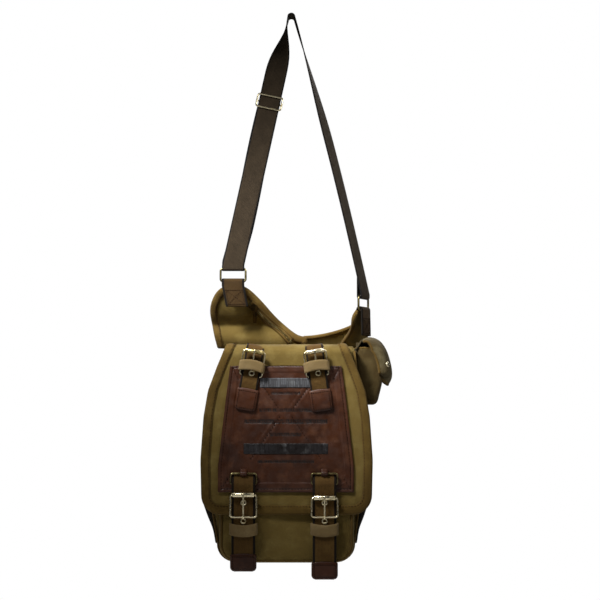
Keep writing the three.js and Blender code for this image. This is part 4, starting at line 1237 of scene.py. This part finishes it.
# %% Crest
# the crest's top line from the left wing to the right one, in mm
CREST = ((18, -470), (34, -469), (56, -465), (76, -459), (92, -452))
crest_line = smooth_line(np.array(CREST, float) * MM, 40, 1)
crest_grid = np.zeros((14, 40, 3))
for c, (x, z) in enumerate(crest_line):
    for r, t in enumerate(np.linspace(0, 1, 14)):
        height = z + (SEAM_Z - 0.002 - z) * t
        crest_grid[r, c] = (x, 0.033 + 0.011 * t + 0.004 * ease((x - 0.05) / 0.04), height)
sheet("crest", crest_grid, 0.0036, canvas, "bag")
crest_edge = [(x, y, z) for x, y, z in crest_grid[0]]
wire("crest_piping", [(crest_edge, False)], 0.0030, tape, "bag", sides=10)

# %% [markdown]
# ## Lid
# The lid lies under the flap. It is hinged at the bag's front edge and reaches back to the wings, so
# it closes the main space. It is canvas with a little slack, and a strip of canvas closes the corner
# that it leaves on the right.

# %% Lid cloth
lid_low, lid_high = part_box("top_panel")
LID_FRONT, LID_REAR = lid_low[2] + 0.0005, lid_high[2] - 0.0058
LID_SHORT = 0.009            # how far the lid stops inside the bag's left end
lid_grid = np.zeros((22, 40, 3))
for r, v in enumerate(np.linspace(0, 1, 22)):
    for c, u in enumerate(np.linspace(-1, 1, 40)):
        x = lid_low[0] + LID_SHORT + (u + 1) * (lid_high[0] - lid_low[0] - LID_SHORT) / 2
        y = lid_high[1] + (lid_low[1] - lid_high[1]) * v
        z = LID_REAR + (LID_FRONT - LID_REAR) * v
        z += 0.0008 * (1 - u ** 4) * math.sin(math.pi * v) + 0.0006 * ruffle(x, y, 0, 26, 8)
        lid_grid[r, c] = (x, y, z)
lid = sheet("lid_cloth", lid_grid, 0.0028, canvas, "top_lid")
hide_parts("top_panel")
lid_edge = [tuple(p) for p in lid_grid[::-1, 0]] + [tuple(p) for p in lid_grid[0, 1:]]
lid_edge += [tuple(p) for p in lid_grid[1:, -1]]
wire("lid_piping", [(lid_edge, False)], 0.0022, tape, "top_lid", sides=8)

# %% [markdown]
# The lid is narrower than the bag, so a strip of canvas closes the corner beside it.

# %% Top corner
corner_grid = np.zeros((10, 12, 3))
for r, v in enumerate(np.linspace(0, 1, 10)):
    for c, u in enumerate(np.linspace(0, 1, 12)):
        height = SEAM_Z - 0.003 + 0.002 * math.sin(math.pi * v)
        corner_grid[r, c] = (0.058 + 0.030 * u, 0.040 - 0.069 * v, height)
sheet("top_corner", corner_grid, 0.0024, canvas, "bag")

# %% [markdown]
# ## Front pocket
# A shallow pocket with a gathered front fills the space under the flap. Its cloth runs from the
# front panel round to the front and back again, and its corners are rounded at the bottom.

# %% Front pocket cloth
pocket_low, pocket_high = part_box("front_pocket")


def pocket_grid(rows=44, front=40, side=8):
    x0, x1 = pocket_low[0], pocket_high[0]
    y_front, y_back = pocket_low[1], pocket_high[1] - 0.0008
    bottom, top = pocket_low[2], pocket_high[2]
    corner, roll = 0.024, 0.008
    heights = list(np.linspace(top, bottom + corner, rows - 12))
    heights += [bottom + corner * (1 - math.sin(math.pi / 2 * i / 9)) for i in range(1, 10)]
    grid = []
    for z in heights + [bottom] * 3:
        last = len(grid) - len(heights) + 1
        above = z - bottom
        pull = corner - math.sqrt(max(corner ** 2 - (corner - above) ** 2, 0)) if above < corner else 0
        tuck = roll - math.sqrt(max(roll ** 2 - (roll - above) ** 2, 0)) if above < roll else 0
        depth_share = 1 if last <= 0 else (0.66, 0.33, 0.03)[last - 1]
        reach = y_back + (y_front + tuck - y_back) * depth_share
        left, right = x0 + pull, x1 - pull
        bend = min(0.009, abs(reach - y_back) * 0.9)
        line = [(left, y_back + (reach + bend - y_back) * i / side) for i in range(side)]
        turn = [(bend * (1 - math.cos(math.pi / 2 * i / 4)), bend * (1 - math.sin(math.pi / 2 * i / 4)))
                for i in range(4)]
        line += [(left + over, reach + back) for over, back in turn]
        line += [(left + bend + (right - left - 2 * bend) * i / front, reach) for i in range(front + 1)]
        line += [(right - over, reach + back) for over, back in reversed(turn)]
        line += [(right, reach + bend + (y_back - reach - bend) * i / side) for i in range(1, side + 1)]
        row = []
        share = ease((top - z) / 0.06) * ease(above / 0.03)
        for x, y in line:
            on_front = ease((y_back - y) / 0.02)
            wave = 0.0022 * ruffle(x, 0, z, 17, 6) + 0.0012 * ruffle(x, 0, z, 42, 7)
            row.append((x, y + (wave + 0.001) * share * on_front, z))
        grid.append(row)
    return np.array(grid)


pocket_points = pocket_grid()
pocket = sheet("pocket_cloth", pocket_points, 0.0022, canvas, "bag")
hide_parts("front_pocket")


def pocket_edge(inset):
    """Points on the pocket's front, inside its corners."""
    x0, x1 = pocket_low[0] + inset, pocket_high[0] - inset
    bottom, corner = pocket_low[2] + inset, 0.024 - inset * 0.6
    y = pocket_low[1] - 0.0012
    left = [(x0, y, z) for z in np.linspace(pocket_high[2], bottom + corner, 30)]
    bend = [(x0 + corner * (1 - math.cos(a)), y, bottom + corner * (1 - math.sin(a)))
            for a in np.linspace(0, math.pi / 2, 9)[1:]]
    run = left + bend
    return run + [(x0 + x1 - px, py, pz) for px, py, pz in reversed(run)]


rod = [(x, y + 0.0028, z) for x, y, z in pocket_edge(0.0028)]
wire("pocket_piping", [(rod, False)], 0.0018, tape, "bag", sides=8)

# %% [markdown]
# ## Side pockets
# Each side has a flat pocket of dark, open mesh cloth that an elastic hem holds against the bag.

# %% Side pocket cloth
for side, node in ((-1, "left_side_pocket"), (1, "right_side_pocket")):
    low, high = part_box(node)
    grid = np.zeros((30, 26, 3))
    for r, t in enumerate(np.linspace(0, 1, 30)):
        z = high[2] + (low[2] - high[2]) * t
        near = BODY_X + side * (body_half(z, side) + 0.0006)
        deep = (high[0] - low[0]) * (0.72 + 0.28 * ease(t / 0.25)) * (1 - 0.85 * ease((t - 0.5) / 0.45))
        for c, u in enumerate(np.linspace(-1, 1, 26)):
            y = (low[1] + high[1]) / 2 + u * (high[1] - low[1]) / 2
            out = deep * (1 - abs(u) ** 3.2) + 0.0006 + 0.0008 * ruffle(0, y, z, 60, 11) * (1 - abs(u) ** 4)
            grid[r, c] = (near + side * out, y, z)
    label = "left" if side < 0 else "right"
    mesh_piece = sheet("side_pocket_" + label, grid, 0.0014, side_mesh, "bag")
    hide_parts(node)
    wide = run_length(grid[4])
    print(label, "side pocket", wide, "m wide when flat")
    wire("side_hem_" + label, [([tuple(p) for p in grid[0]], False)], 0.0021, black_leather, "bag",
         sides=8)

# %% [markdown]
# ## Accessory pocket
# A small pouch on the right side, tapered to its bottom, with a hood that folds over its mouth.
# The hood is domed, so it wraps round the pouch's corners, and piping stiffens its edge.

# %% Pouch
acc_low, acc_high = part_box("accessory_pocket")
# depth below the mouth, inner and outer x, and how far the front and back draw in, in mm
POUCH = ((0, 92, 123, 0), (12, 92, 126, 0), (28, 92, 129.5, 0), (45, 94, 130, 0), (58, 98, 127.5, 0.5),
         (68, 102, 125, 1.5), (75, 105.5, 123.5, 3), (79, 108, 121, 6), (80.5, 110, 117, 12))
pouch_levels = []
for depth, x0, x1, draw in smooth_line(np.array(POUCH, float), 34, 2):
    pouch_levels.append((acc_high[2] - depth * MM, x0 * MM, x1 * MM, acc_low[1] + draw * MM,
                         acc_high[1] - draw * MM, 0.008))
# the pouch's darker canvas is painted shade from the flap
accessory, accessory_size = pouch("accessory_pouch", pouch_levels, 0.0020, pouch_shaded_canvas, "bag",
                                  0.0012, 12, 0.001)
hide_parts("accessory_pocket")
print("accessory pouch cut", accessory_size)
mouth_ring = ring_of(0.093, 0.1222, acc_low[1] + MM, acc_high[1] - MM, 0.007)
mouth = [(x, y, pouch_levels[0][0]) for x, y in mouth_ring]
wire("accessory_mouth", [(mouth, True)], 0.0016, tape, "bag", sides=8)

# %% [markdown]
# The hood is sewn along the body and folds over the mouth. A ridge line drawn from the front gives
# its shape, and the cloth curls in from the ridge towards the front and back edges.

# %% Hood
# the hood's ridge line from its seam over the mouth and down the outside, in mm
HOOD = ((101, -476), (108, -471.5), (118, -472), (128, -477), (136, -489), (141, -504), (144, -519),
        (143.5, -530), (138.5, -538.5))
hood_line = smooth_line(np.array(HOOD, float) * MM, 44, 2)
hood_step = np.gradient(hood_line, axis=0)
hood_step /= np.linalg.norm(hood_step, axis=1, keepdims=True)
hood_in = np.stack([hood_step[:, 1], -hood_step[:, 0]], axis=1)
HOOD_HALF, HOOD_Y = 0.0290, -0.0010
HOOD_TUCK = 0.0185


def hood_point(r, v):
    """A place on the hood: r counts along its ridge and v runs from the front (-1) to the back."""
    t = r / (len(hood_line) - 1)
    reach = HOOD_HALF * math.sin(math.pi / 2 * min(abs(v) * 1.04, 1))
    reach *= 1 - 0.34 * ease((t - 0.76) / 0.24) ** 2
    tuck = HOOD_TUCK * (1 - math.cos(math.pi / 2 * abs(v))) * ease((t + 0.1) / 0.42)
    x = hood_line[r, 0] + hood_in[r, 0] * tuck
    z = hood_line[r, 1] + hood_in[r, 1] * tuck
    z += 0.004 * ease((t - 0.75) / 0.25) * v ** 2
    return (x, HOOD_Y + math.copysign(reach, v), z)


hood_grid = np.array([[hood_point(r, v) for v in np.linspace(-1, 1, 37)] for r in range(len(hood_line))])
# the hood's darker canvas is painted shade
hood = sheet("accessory_hood", hood_grid, 0.0026, hood_grey_shaded_canvas, "accessory_lid")
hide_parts("accessory_flap")
edge = [tuple(p) for p in hood_grid[:, 0]] + [tuple(p) for p in hood_grid[-1, 1:]]
edge += [tuple(p) for p in hood_grid[-2::-1, -1]]
wire("hood_piping", [(edge, False)], 0.0021, tape, "accessory_lid", sides=8)
# %% [markdown]
# A strip of cloth closes the seam between the hood and the body, and a second one the back of the
# mouth. Both are a darker copy of the canvas, painted shade where they lie under the hood. The snap that
# holds the hood down shows as a small brass cap.

# %% Hood seam and snap
root = np.array([[(0.0925 + 0.0085 * v, -0.001 + 0.026 * u, -0.489 + 0.0135 * v)
                  for u in np.linspace(-1, 1, 8)] for v in np.linspace(0, 1, 6)])
# both strips take the darker canvas: painted shade under the hood
sheet("accessory_root", root, 0.0020, canvas_shaded_strips, "bag")
collar = np.array([[(0.095 + 0.029 * u, 0.0205 + 0.002 * v, -0.478 - 0.004 * u - 0.012 * v)
                    for u in np.linspace(0, 1, 10)] for v in np.linspace(0, 1, 6)])
sheet("accessory_collar", collar, 0.0020, canvas_shaded_strips, "bag")
SNAP_PLACE = (29, 9)         # row and column of the hood's grid
centre = Vector(hood_grid[SNAP_PLACE])
facing = Vector(grid_normals(hood_grid)[SNAP_PLACE])
facing = facing if facing.y < 0 else -facing
SNAP_CAP = ((0.0001, 0.0026), (0.0020, 0.0025), (0.0036, 0.0019), (0.0042, 0.0008), (0.0040, -0.0010),
            (0.0001, -0.0012))
snap = spun("hood_snap", SNAP_CAP, centre, facing, pale_brass, "accessory_lid")
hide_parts("accessory_snap")

# %% [markdown]
# ## Shoulder strap
# One length of ribbed webbing, with dark selvedges, is sewn round the right ring, runs up to the
# hook, and comes down in front through the slider and round the left ring. Its free end goes back up
# behind itself to the slider. Both rings, and the slider, are bent wire.

# %% Strap run
STRAP_WIDTH = 0.031
WEB_THICK = 0.0016
HOOK_RADIUS = 0.005
RIGHT_TURN = math.radians(65)
left_low, left_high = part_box("left_ring")
right_low, right_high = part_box("right_ring")
RING_WIRE = 0.0032
LEFT_BAR = np.array(((left_low[0] + left_high[0]) / 2, 0.0, left_high[2] - RING_WIRE / 2))
RIGHT_BAR = np.array(((right_low[0] + right_high[0]) / 2, 0.0, right_high[2] - RING_WIRE / 2))
WRAP = RING_WIRE / 2 + WEB_THICK / 2 + 0.0005


def fold_round(bar, out, first, last, steps=9):
    """Points on a turn round a ring's bar, from one angle to another."""
    return [bar + out * (WRAP * math.cos(a)) + np.array((0, 0, WRAP * math.sin(a)))
            for a in np.linspace(first, last, steps)]


def strap_path():
    middles, across = [], []
    right_out = np.array((math.sin(RIGHT_TURN), -math.cos(RIGHT_TURN), 0.0))
    right_across = np.array((math.cos(RIGHT_TURN), math.sin(RIGHT_TURN), 0.0))
    for height in np.linspace(0.030, 0.004, 5):
        middles.append(RIGHT_BAR - right_out * WRAP + np.array((0, 0, height)))
    middles += fold_round(RIGHT_BAR, right_out, math.pi, 2 * math.pi)
    across += [right_across] * len(middles)
    start = middles[-1] + np.array((0, 0, 0.004))
    hook = np.array((HOOK_RADIUS, 0.0, -HOOK_RADIUS))
    for t in np.linspace(0, 1, 30):
        turn = RIGHT_TURN + (math.pi / 2 - RIGHT_TURN) * ease((t - 0.55) / 0.45)
        middles.append(start + (hook - start) * t + np.array((0.004 * math.sin(math.pi * t), 0, 0)))
        across.append(np.array((math.cos(turn), math.sin(turn), 0.0)))
    for a in np.linspace(0, math.pi, 11)[1:-1]:
        middles.append(np.array((HOOK_RADIUS * math.cos(a), 0.0, -HOOK_RADIUS + HOOK_RADIUS * math.sin(a))))
        across.append(np.array((0.0, 1.0, 0.0)))
    top = np.array((-HOOK_RADIUS, 0.0, -HOOK_RADIUS))
    end = LEFT_BAR + np.array((0, -WRAP, 0.004))
    for t in np.linspace(0, 1, 44):
        a = math.pi / 2 * (1 - ease(t / 0.24))
        middles.append(top + (end - top) * t)
        across.append(np.array((-math.cos(a), math.sin(a), 0.0)))
    middles += fold_round(LEFT_BAR, np.array((0.0, -1.0, 0.0)), 0, -math.pi)
    middles.append(LEFT_BAR + np.array((0, WRAP, 0.010)))
    across += [np.array((-1.0, 0.0, 0.0))] * 10
    return middles, across, top, end


strap_middles, strap_across, run_top, run_end = strap_path()
# the strap's darker webbing is partly painted shade
strap = ribbon("strap_web", strap_middles, strap_across, STRAP_WIDTH, WEB_THICK, strap_webbing_grey_shaded, "strap")
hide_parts("shoulder_webbing")

run = run_top - run_end
slider_middle = run_end + run * 0.66
behind = np.array((0, WEB_THICK + 0.0006, 0))
doubled = [LEFT_BAR + np.array((0, WRAP, 0.0105)), run_end + run * 0.08 + behind * 1.3]
doubled += [run_end + run * t + behind + np.array((0.0012 * math.sin(9 * t), 0, 0))
            for t in np.linspace(0.14, 0.645, 30)]
back_layer = ribbon("strap_doubled", doubled, np.array((-1.0, 0.0, 0.0)), STRAP_WIDTH, WEB_THICK,
                    strap_webbing_grey_shaded, None)
tuple(doubled[1])
tuple(doubled[-2])
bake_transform(back_layer)
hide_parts("strap_return")
print("strap", run_length(np.array(strap_middles)), "m; doubled part", run_length(np.array(doubled)), "m")

# %% [markdown]
# The rings are bent from thick wire and darkened with age. The slider is one loop with a bar across
# it, and the bar stands behind the strap so that the webbing is held by friction.

# %% Rings and slider
def upright(points, centre, across, lift=0.0):
    """Flat points set up on edge about a centre: first number across, second up."""
    centre, across = np.array(centre, float), np.array(across, float)
    out = np.array((across[1], -across[0], 0.0))
    return [tuple(centre + across * u + out * lift + np.array((0, 0, v))) for u, v in points]


ring_outer = 0.0394
for label, low, high, turn in (("left", left_low, left_high, 0.0),
                               ("right", right_low, right_high, RIGHT_TURN)):
    middle = ((low[0] + high[0]) / 2, (low[1] + high[1]) / 2, (low[2] + high[2]) / 2)
    shape = round_rectangle(ring_outer - RING_WIRE, high[2] - low[2] - RING_WIRE, 0.004)
    across = (math.cos(turn), math.sin(turn), 0.0)
    ring = wire("ring_" + label, [(upright(shape, middle, across), True)], RING_WIRE / 2, bronze, "strap")
    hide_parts(label + "_ring")

slider_lean = math.atan2(run[0], run[2])
slider_half, slider_wire = 0.0183, 0.0026


def leaned(points, centre, angle):
    """Points (across, y, up) turned in the plane of the front about a centre."""
    c, s = math.cos(angle), math.sin(angle)
    return [(centre[0] + u * c + v * s, centre[1] + y, centre[2] - u * s + v * c) for u, y, v in points]


loop = [(u, -0.0026, v) for u, v in round_rectangle(2 * slider_half, 0.0184, 0.003)]
bar_y = WEB_THICK * 1.5 + 0.0025
bar = [(-slider_half, -0.0026, 0.0), (-slider_half, bar_y - 0.001, 0.0), (-slider_half + 0.001, bar_y, 0.0),
       (slider_half - 0.001, bar_y, 0.0), (slider_half, bar_y - 0.001, 0.0), (slider_half, -0.0026, 0.0)]
slider = wire("strap_slider_wire", [(leaned(loop, slider_middle, slider_lean), True),
                                    (leaned(bar, slider_middle, slider_lean), False)],
              slider_wire / 2, pale_brass, "slider")
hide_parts("slider_frame")
print("slider leans", math.degrees(slider_lean), "degrees")

# %% [markdown]
# Webbing tabs join the rings to the wings. Each folds round the ring's lower bar, and a cross and a
# square of stitches hold it.

# %% Tabs
def tab(label, bar, turn, drop, slant):
    """A folded tab below a ring's bar; slant is how far it leans sideways for its drop."""
    across = np.array((math.cos(turn), math.sin(turn), 0.0))
    out = np.array((math.sin(turn), -math.cos(turn), 0.0))
    radius = RING_WIRE / 2 + WEB_THICK / 2 + 0.0012

    def below(d, lift, u=0.0):
        """A place d below the bar, lifted off the wing, u across the tab."""
        return bar + out * (radius + lift) + across * (u + slant * max(d - 0.006, 0)) - np.array((0, 0, d))

    lower = [drop - d for d in np.linspace(0, drop - 0.003, 12)]
    middles = [below(d, 0.0006 * ease(d / drop)) for d in lower]
    middles += [bar + out * (radius * math.cos(a)) + np.array((0, 0, radius * math.sin(a)))
                for a in np.linspace(0, math.pi, 10)]
    # the tab's darker webbing is painted shade
    piece = ribbon("tab_" + label, middles, across, STRAP_WIDTH, 0.0020, tab_webbing_shaded, None, 9)
    start, end = bar - np.array((0, 0, 0.001)), bar - np.array((0, 0, 0.016))
    tuple(start)
    tuple(end)
    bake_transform(piece)
    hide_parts(label + "_tab")
    half = STRAP_WIDTH / 2 - 0.004

    high, low = 0.013, drop - 0.003
    corners = ((-half, high), (half, high), (half, low), (-half, low))
    a, b, c, d = (tuple(below(depth, 0.0018, u)) for u, depth in corners)
    sew("tab_seam_" + label, [[a, b, c, d, a], [a, c], [b, d]], "bag", pitch=0.0032)


tab("left", np.array((LEFT_BAR[0], 0, left_low[2] + RING_WIRE / 2)), 0.0, 0.036, 0.2)
tab("right", np.array((RIGHT_BAR[0], 0, right_low[2] + RING_WIRE / 2)), RIGHT_TURN, 0.037, 0.0)
print("tabs below the rings at", LEFT_BAR[0], RIGHT_BAR[0])

# %% [markdown]
# ## Buckle straps
# All four straps are made of the same pieces: a keeper bent round the strap, a leather tip, a prong
# bent from wire, and a roller that turns on the buckle's upper bar. One function makes each of them.

# %% Pieces of a buckle strap
EYELET = ((0.0022, 0.0000), (0.0024, 0.0008), (0.0031, 0.0012), (0.0040, 0.0008), (0.0043, 0.0001),
          (0.0034, -0.0002))


def keeper_band(name, place, half, y_front, y_back, z_low, z_high, arch, material, body, node):
    """A band round a strap, its edges arched by `arch`."""
    path = [(-half, y_back), (-half, y_front + 0.003), (-half + 0.0008, y_front + 0.001),
            (-half + 0.003, y_front)]
    path += [(u, y_front - 0.0006 * (1 - (u / half) ** 2))
             for u in np.linspace(-half + 0.006, half - 0.006, 12)]
    path += [(-u, y) for u, y in reversed(path[:4])]
    grid = np.array([[place(u, y, z_high + (z_low - z_high) * v + arch * (1 - (u / half) ** 2))
                      for u, y in path] for v in np.linspace(0, 1, 7)])
    piece = sheet(name, grid, 0.0018, material, body)
    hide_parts(node)


def strap_tip(name, place, half, z_top, z_bottom, front, thick, body, node):
    """A leather tip with clipped corners, a swollen middle and a seam round it."""
    rows, columns = 26, 22
    grid = np.zeros((rows, columns, 3))
    for r, v in enumerate(np.linspace(0, 1, rows)):
        z = z_top + (z_bottom - z_top) * v
        above = z - z_bottom
        clip = 0.005 - math.sqrt(max(0.005 ** 2 - (0.005 - above) ** 2, 0)) if above < 0.005 else 0
        for c, u in enumerate(np.linspace(-1, 1, columns)):
            x = u * (half - clip)
            arch = 0.0016 * (1 - u * u) * (1 - v)
            swell = 0.0007 * (1 - u ** 6) * (1 - (2 * v - 1) ** 6)
            grid[r, c] = place(x, front(z) - swell, z + arch)
    piece = sheet(name, grid, thick, leather, body)
    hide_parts(node)
    inset = 0.0022
    side, top, bottom = half - inset, z_top - inset, z_bottom + inset
    corners = [(-side, top), (side, top), (side, bottom), (-side, bottom), (-side, top)]
    seam = [place(u, front(z) - thick / 2 - 0.0008, z) for u, z in corners]
    sew(name + "_seam", [[tuple(p) for p in seam]], body, pitch=0.0030)


def prong_wire(name, x_place, y_bar, z_bar, y_tip, z_tip, body, node, radius=0.0013):
    """A prong: an eye round the bar and a finger that lies on the roller."""
    eye = [(0.0, y_bar + 0.0024 * math.sin(a), z_bar + 0.0024 * math.cos(a))
           for a in np.linspace(0.3, 4.9, 9)]
    y_from, z_from = y_bar - 0.0022, z_bar + 0.002
    finger = [(0.0, y_from + (y_tip - y_bar + 0.0022) * t, z_from + (z_tip - z_bar - 0.002) * t)
              for t in np.linspace(0.05, 1, 9)]
    piece = wire(name, [([x_place(*p) for p in eye + finger], False)], radius, pale_brass, body, sides=8)
    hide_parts(node)


def roller_tube(name, place, z, y, half, inner, outer, material, body, node):
    """A roller: a short tube with rounded ends on the buckle's upper bar."""
    a, b = Vector(place(-half, y, z)), Vector(place(half, y, z))
    ends = 0.0006
    profile = ((inner, -half), (outer - ends, -half), (outer, -half + ends), (outer, half - ends),
               (outer - ends, half), (inner, half))
    piece = spun(name, profile, (a + b) / 2, b - a, material, body, sides=20)
    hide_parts(node)

# %% [markdown]
# ## Upper straps
# Two short straps are sewn over the flap's top edge and lean outwards a little. Each has a roller
# buckle, a canvas keeper with an arched edge, an eyelet below it and a leather tip sewn round.

# %% Upper straps
UPPER_HALF = 0.012
UPPER_PIVOT = -0.505         # each strap leans about this height
UPPER_EYELET = -0.5235
for label, x, lean, bottom in (("left", -0.0525, 0.17, -0.575), ("right", 0.0345, -0.13, -0.576)):
    def place(u, y, z, x=x, lean=lean):
        c, s = math.cos(lean), math.sin(lean)
        return (x + u * c + (z - UPPER_PIVOT) * s, y, UPPER_PIVOT - u * s + (z - UPPER_PIVOT) * c)

    def strap_y(z, x=x):
        lift = 0.0026 + (PATCH_LIFT + 0.0002) * ease((PATCH_TOP + 0.010 - z) / 0.012)
        lift += 0.0016 * ease((PATCH_TOP + 0.010 - z) / 0.012) * ease((z + 0.548) / 0.012)
        return flap_y(x, z) - lift

    tip_top = bottom + 0.028
    heights = np.linspace(FLAP_TOP + 0.0005, tip_top + 0.001, 26)
    grid = np.array([[place(u, strap_y(z), z) for u in np.linspace(-UPPER_HALF, UPPER_HALF, 9)]
                     for z in heights])
    uv = np.zeros(grid.shape[:2] + (2,))
    uv[:, :, 0] = np.linspace(0, 1, 9)
    uv[:, :, 1] = heights[:, None]
    web = sheet("upper_web_" + label, grid, 0.0018, webbing, "flap", uv)
    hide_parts("upper_strap_" + label)
    strap_tip("upper_tip_leather_" + label, place, UPPER_HALF + 0.0022, tip_top, bottom, strap_y, 0.0026,
              "flap", "upper_tip_" + label)
    frame_low, frame_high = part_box("upper_frame_" + label)
    frame_y = (frame_low[1] + frame_high[1]) / 2
    wire_size = 0.0022
    bar_z, roller_z = -0.511, -0.4932
    loop = [place(u, frame_y + 0.0062 * ease((-0.001 - v) / 0.014), -0.5102 + v)
            for u, v in round_rectangle(0.0308, 0.034, 0.0032)]
    bar = [place(u, frame_y, bar_z) for u in np.linspace(-0.0152, 0.0152, 6)]
    buckle = wire("upper_buckle_" + label, [(loop, True), (bar, False)], wire_size / 2, pale_brass, "flap")
    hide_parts("upper_frame_" + label)
    # painted highlight: the right roller takes the paler brass, as it looks silver where it catches the
    # light
    finish = brass if label == "left" else pale_brass
    roller_tube("upper_roller_tube_" + label, place, roller_z, frame_y, 0.0130, 0.0019, 0.0029, finish,
                "upper_roller_" + label, "upper_roller_" + label)
    prong_wire("upper_prong_wire_" + label, place, frame_y, bar_z, frame_y - 0.0043, roller_z + 0.0022,
               "upper_prong_" + label, "upper_prong_" + label)
    keeper_band("upper_band_" + label, place, 0.0172, frame_y - 0.0040, frame_y + 0.0065,
                -0.5215, -0.5085, 0.0026, keeper_web, "flap", "upper_keeper_" + label)
    spot = place(0.001, strap_y(UPPER_EYELET) - 0.0012, UPPER_EYELET)
    spun("upper_eyelet_" + label, EYELET, spot, (0, -1, 0), pale_brass, "flap", sides=18)

# %% [markdown]
# ## Lower buckle straps
# Each lower strap is folded round the bottom bar of a ring, which a leather loop holds on the patch.
# It passes behind a roller buckle and a keeper and ends in a tip in front of the pocket, where a
# snap behind the tip holds it. The strap swings on its ring.

# %% Lower straps
RING_TOP_Z = -0.662
RING_Y = -0.0706
LOW_BAR_Z = -0.6766
LOWER_HALF = 0.0157
LOWER_SNAP = ((0.0001, 0.0), (0.0060, 0.0002), (0.0070, 0.0012), (0.0070, 0.0030), (0.0050, 0.0042),
              (0.0001, 0.0044))
for label, x, bottom, shorter in (("left", -0.0655, -0.795, 0.0), ("right", 0.0465, -0.806, 0.004)):
    body = "lower_strap_" + label

    def place(u, y, z, x=x):
        return (x + u, y, z)

    def front_y(z):
        return -0.0702 + 0.0010 * math.sin((z + 0.68) * 34) * ease((-0.70 - z) / 0.03)

    ring = [place(u, RING_Y, (RING_TOP_Z + LOW_BAR_Z) / 2 + v)
            for u, v in round_rectangle(0.0361, RING_TOP_Z - LOW_BAR_Z, 0.003)]
    ring_piece = wire("lower_ring_wire_" + label, [(ring, True)], 0.0012, bronze, body)
    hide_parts("lower_ring_" + label)

    leather_path = [(-0.0667, RING_TOP_Z + 0.006), (-0.0678, RING_TOP_Z + 0.004)]
    leather_path += [(RING_Y - 0.0024 * math.sin(a), RING_TOP_Z + 0.0024 * math.cos(a))
                     for a in np.linspace(0.2, 2.9, 8)]
    leather_path += [(-0.0675, RING_TOP_Z - 0.005), (-0.0667, RING_TOP_Z - 0.009)]
    grid = np.array([[place(u, y, z) for u in np.linspace(-0.004, 0.004, 5)] for y, z in leather_path])
    sheet("ring_loop_" + label, grid, 0.0015, leather, "flap")

    tip_top = bottom + 0.021
    path = [(-0.0681, RING_TOP_Z - 0.0022), (-0.0686, RING_TOP_Z - 0.005), (-0.0706, RING_TOP_Z - 0.009),
            (-0.0727, LOW_BAR_Z + 0.003), (-0.0732, LOW_BAR_Z), (-0.0730, LOW_BAR_Z - 0.003)]
    path += [(front_y(z) - 0.0022 * ease((z + 0.70) / 0.02), z)
             for z in np.linspace(LOW_BAR_Z - 0.006, tip_top + 0.001, 30)]
    middles = [place(0, y, z) for y, z in path]
    web = ribbon("lower_web_" + label, middles, np.array((1.0, 0, 0)), 2 * LOWER_HALF, 0.0018, webbing,
                 body)
    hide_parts("lower_strap_" + label)
    strap_tip("lower_tip_leather_" + label, place, 0.0169, tip_top, bottom,
              lambda z: front_y(z) - 0.0003, 0.0034, body, "lower_tip_" + label)

    frame_y = -0.0751
    bar_z = -0.7215
    roller_z = -0.6911 - shorter
    tall = roller_z - bar_z
    loop = [place(u, frame_y, (bar_z + roller_z) / 2 + v) for u, v in round_rectangle(0.0359, tall, 0.0032)]
    buckle = wire("lower_buckle_" + label, [(loop, True)], 0.0013, pale_brass, body)
    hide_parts("lower_frame_" + label)
    roller_tube("lower_roller_tube_" + label, place, roller_z, frame_y, 0.0150, 0.0022, 0.0035, pale_brass,
                "lower_roller_" + label, "lower_roller_" + label)
    prong_wire("lower_prong_wire_" + label, place, frame_y, bar_z, frame_y - 0.0049, roller_z + 0.0026,
               "lower_prong_" + label, "lower_prong_" + label)
    keeper_band("lower_band_" + label, place, 0.0186, -0.0735, -0.0662, -0.7455, -0.7305, -0.0028,
                keeper_web, body, "lower_keeper_" + label)
    for z in (-0.702, -0.7270):
        spun("lower_eyelet_%s_%d" % (label, abs(z) * 1000), EYELET, place(0, front_y(z) - 0.0012, z),
             (0, -1, 0), pale_brass, body, sides=18)
    cap = spun("lower_snap_cap_" + label, LOWER_SNAP, place(0, -0.0671, -0.760), (0, 1, 0), bronze, body)
    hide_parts("lower_snap_" + label)

# %% [markdown]
# ## What stays from the frame
# The base board, the zip's slider and its pull are stiff and keep their built shape. They only take
# a finish; the slider and pull are darkened as painted shade, since the zip lies in shadow.

# %% Finishes for carried pieces
# the zip's slider and pull take the darkened metal: painted shade
for node, finish in (("base_board", board), ("zip_slider", zip_metal_shaded), ("zip_pull", zip_metal_shaded)):
    piece = frame["nodes"][node]
    if not piece.material_slots:
        piece.data.materials.append(finish)
    for place_in_list in piece.material_slots:
        place_in_list.material = finish
flap_wide = run_length(flap_grid(FLAP_INSET, 20, 20)[14])

# %% [markdown]
# ## Floor
# A pale floor lies well below the bag, out of the main view.

# %% Floor and finish
FLOOR_Z, FLOOR_HALF = -1.2, 2.0
floor_mesh = bpy.data.meshes.new("floor")
floor_corners = [(x * FLOOR_HALF, y * FLOOR_HALF, FLOOR_Z) for x, y in ((-1, -1), (1, -1), (1, 1), (-1, 1))]
floor_mesh.from_pydata(floor_corners, [], [(0, 1, 2, 3)])
floor = bpy.data.objects.new("floor", floor_mesh)
bpy.context.collection.objects.link(floor)
ground = Shader("pale_floor", 0.9)
ground.surface.inputs["Emission Color"].default_value = (1, 1, 1, 1)
ground.surface.inputs["Emission Strength"].default_value = 0.4
floor_colour = ground.mix(ground.noise(1.5), shade(232, 231, 228), shade(240, 239, 236))
floor_mesh.materials.append(ground.done(floor_colour))
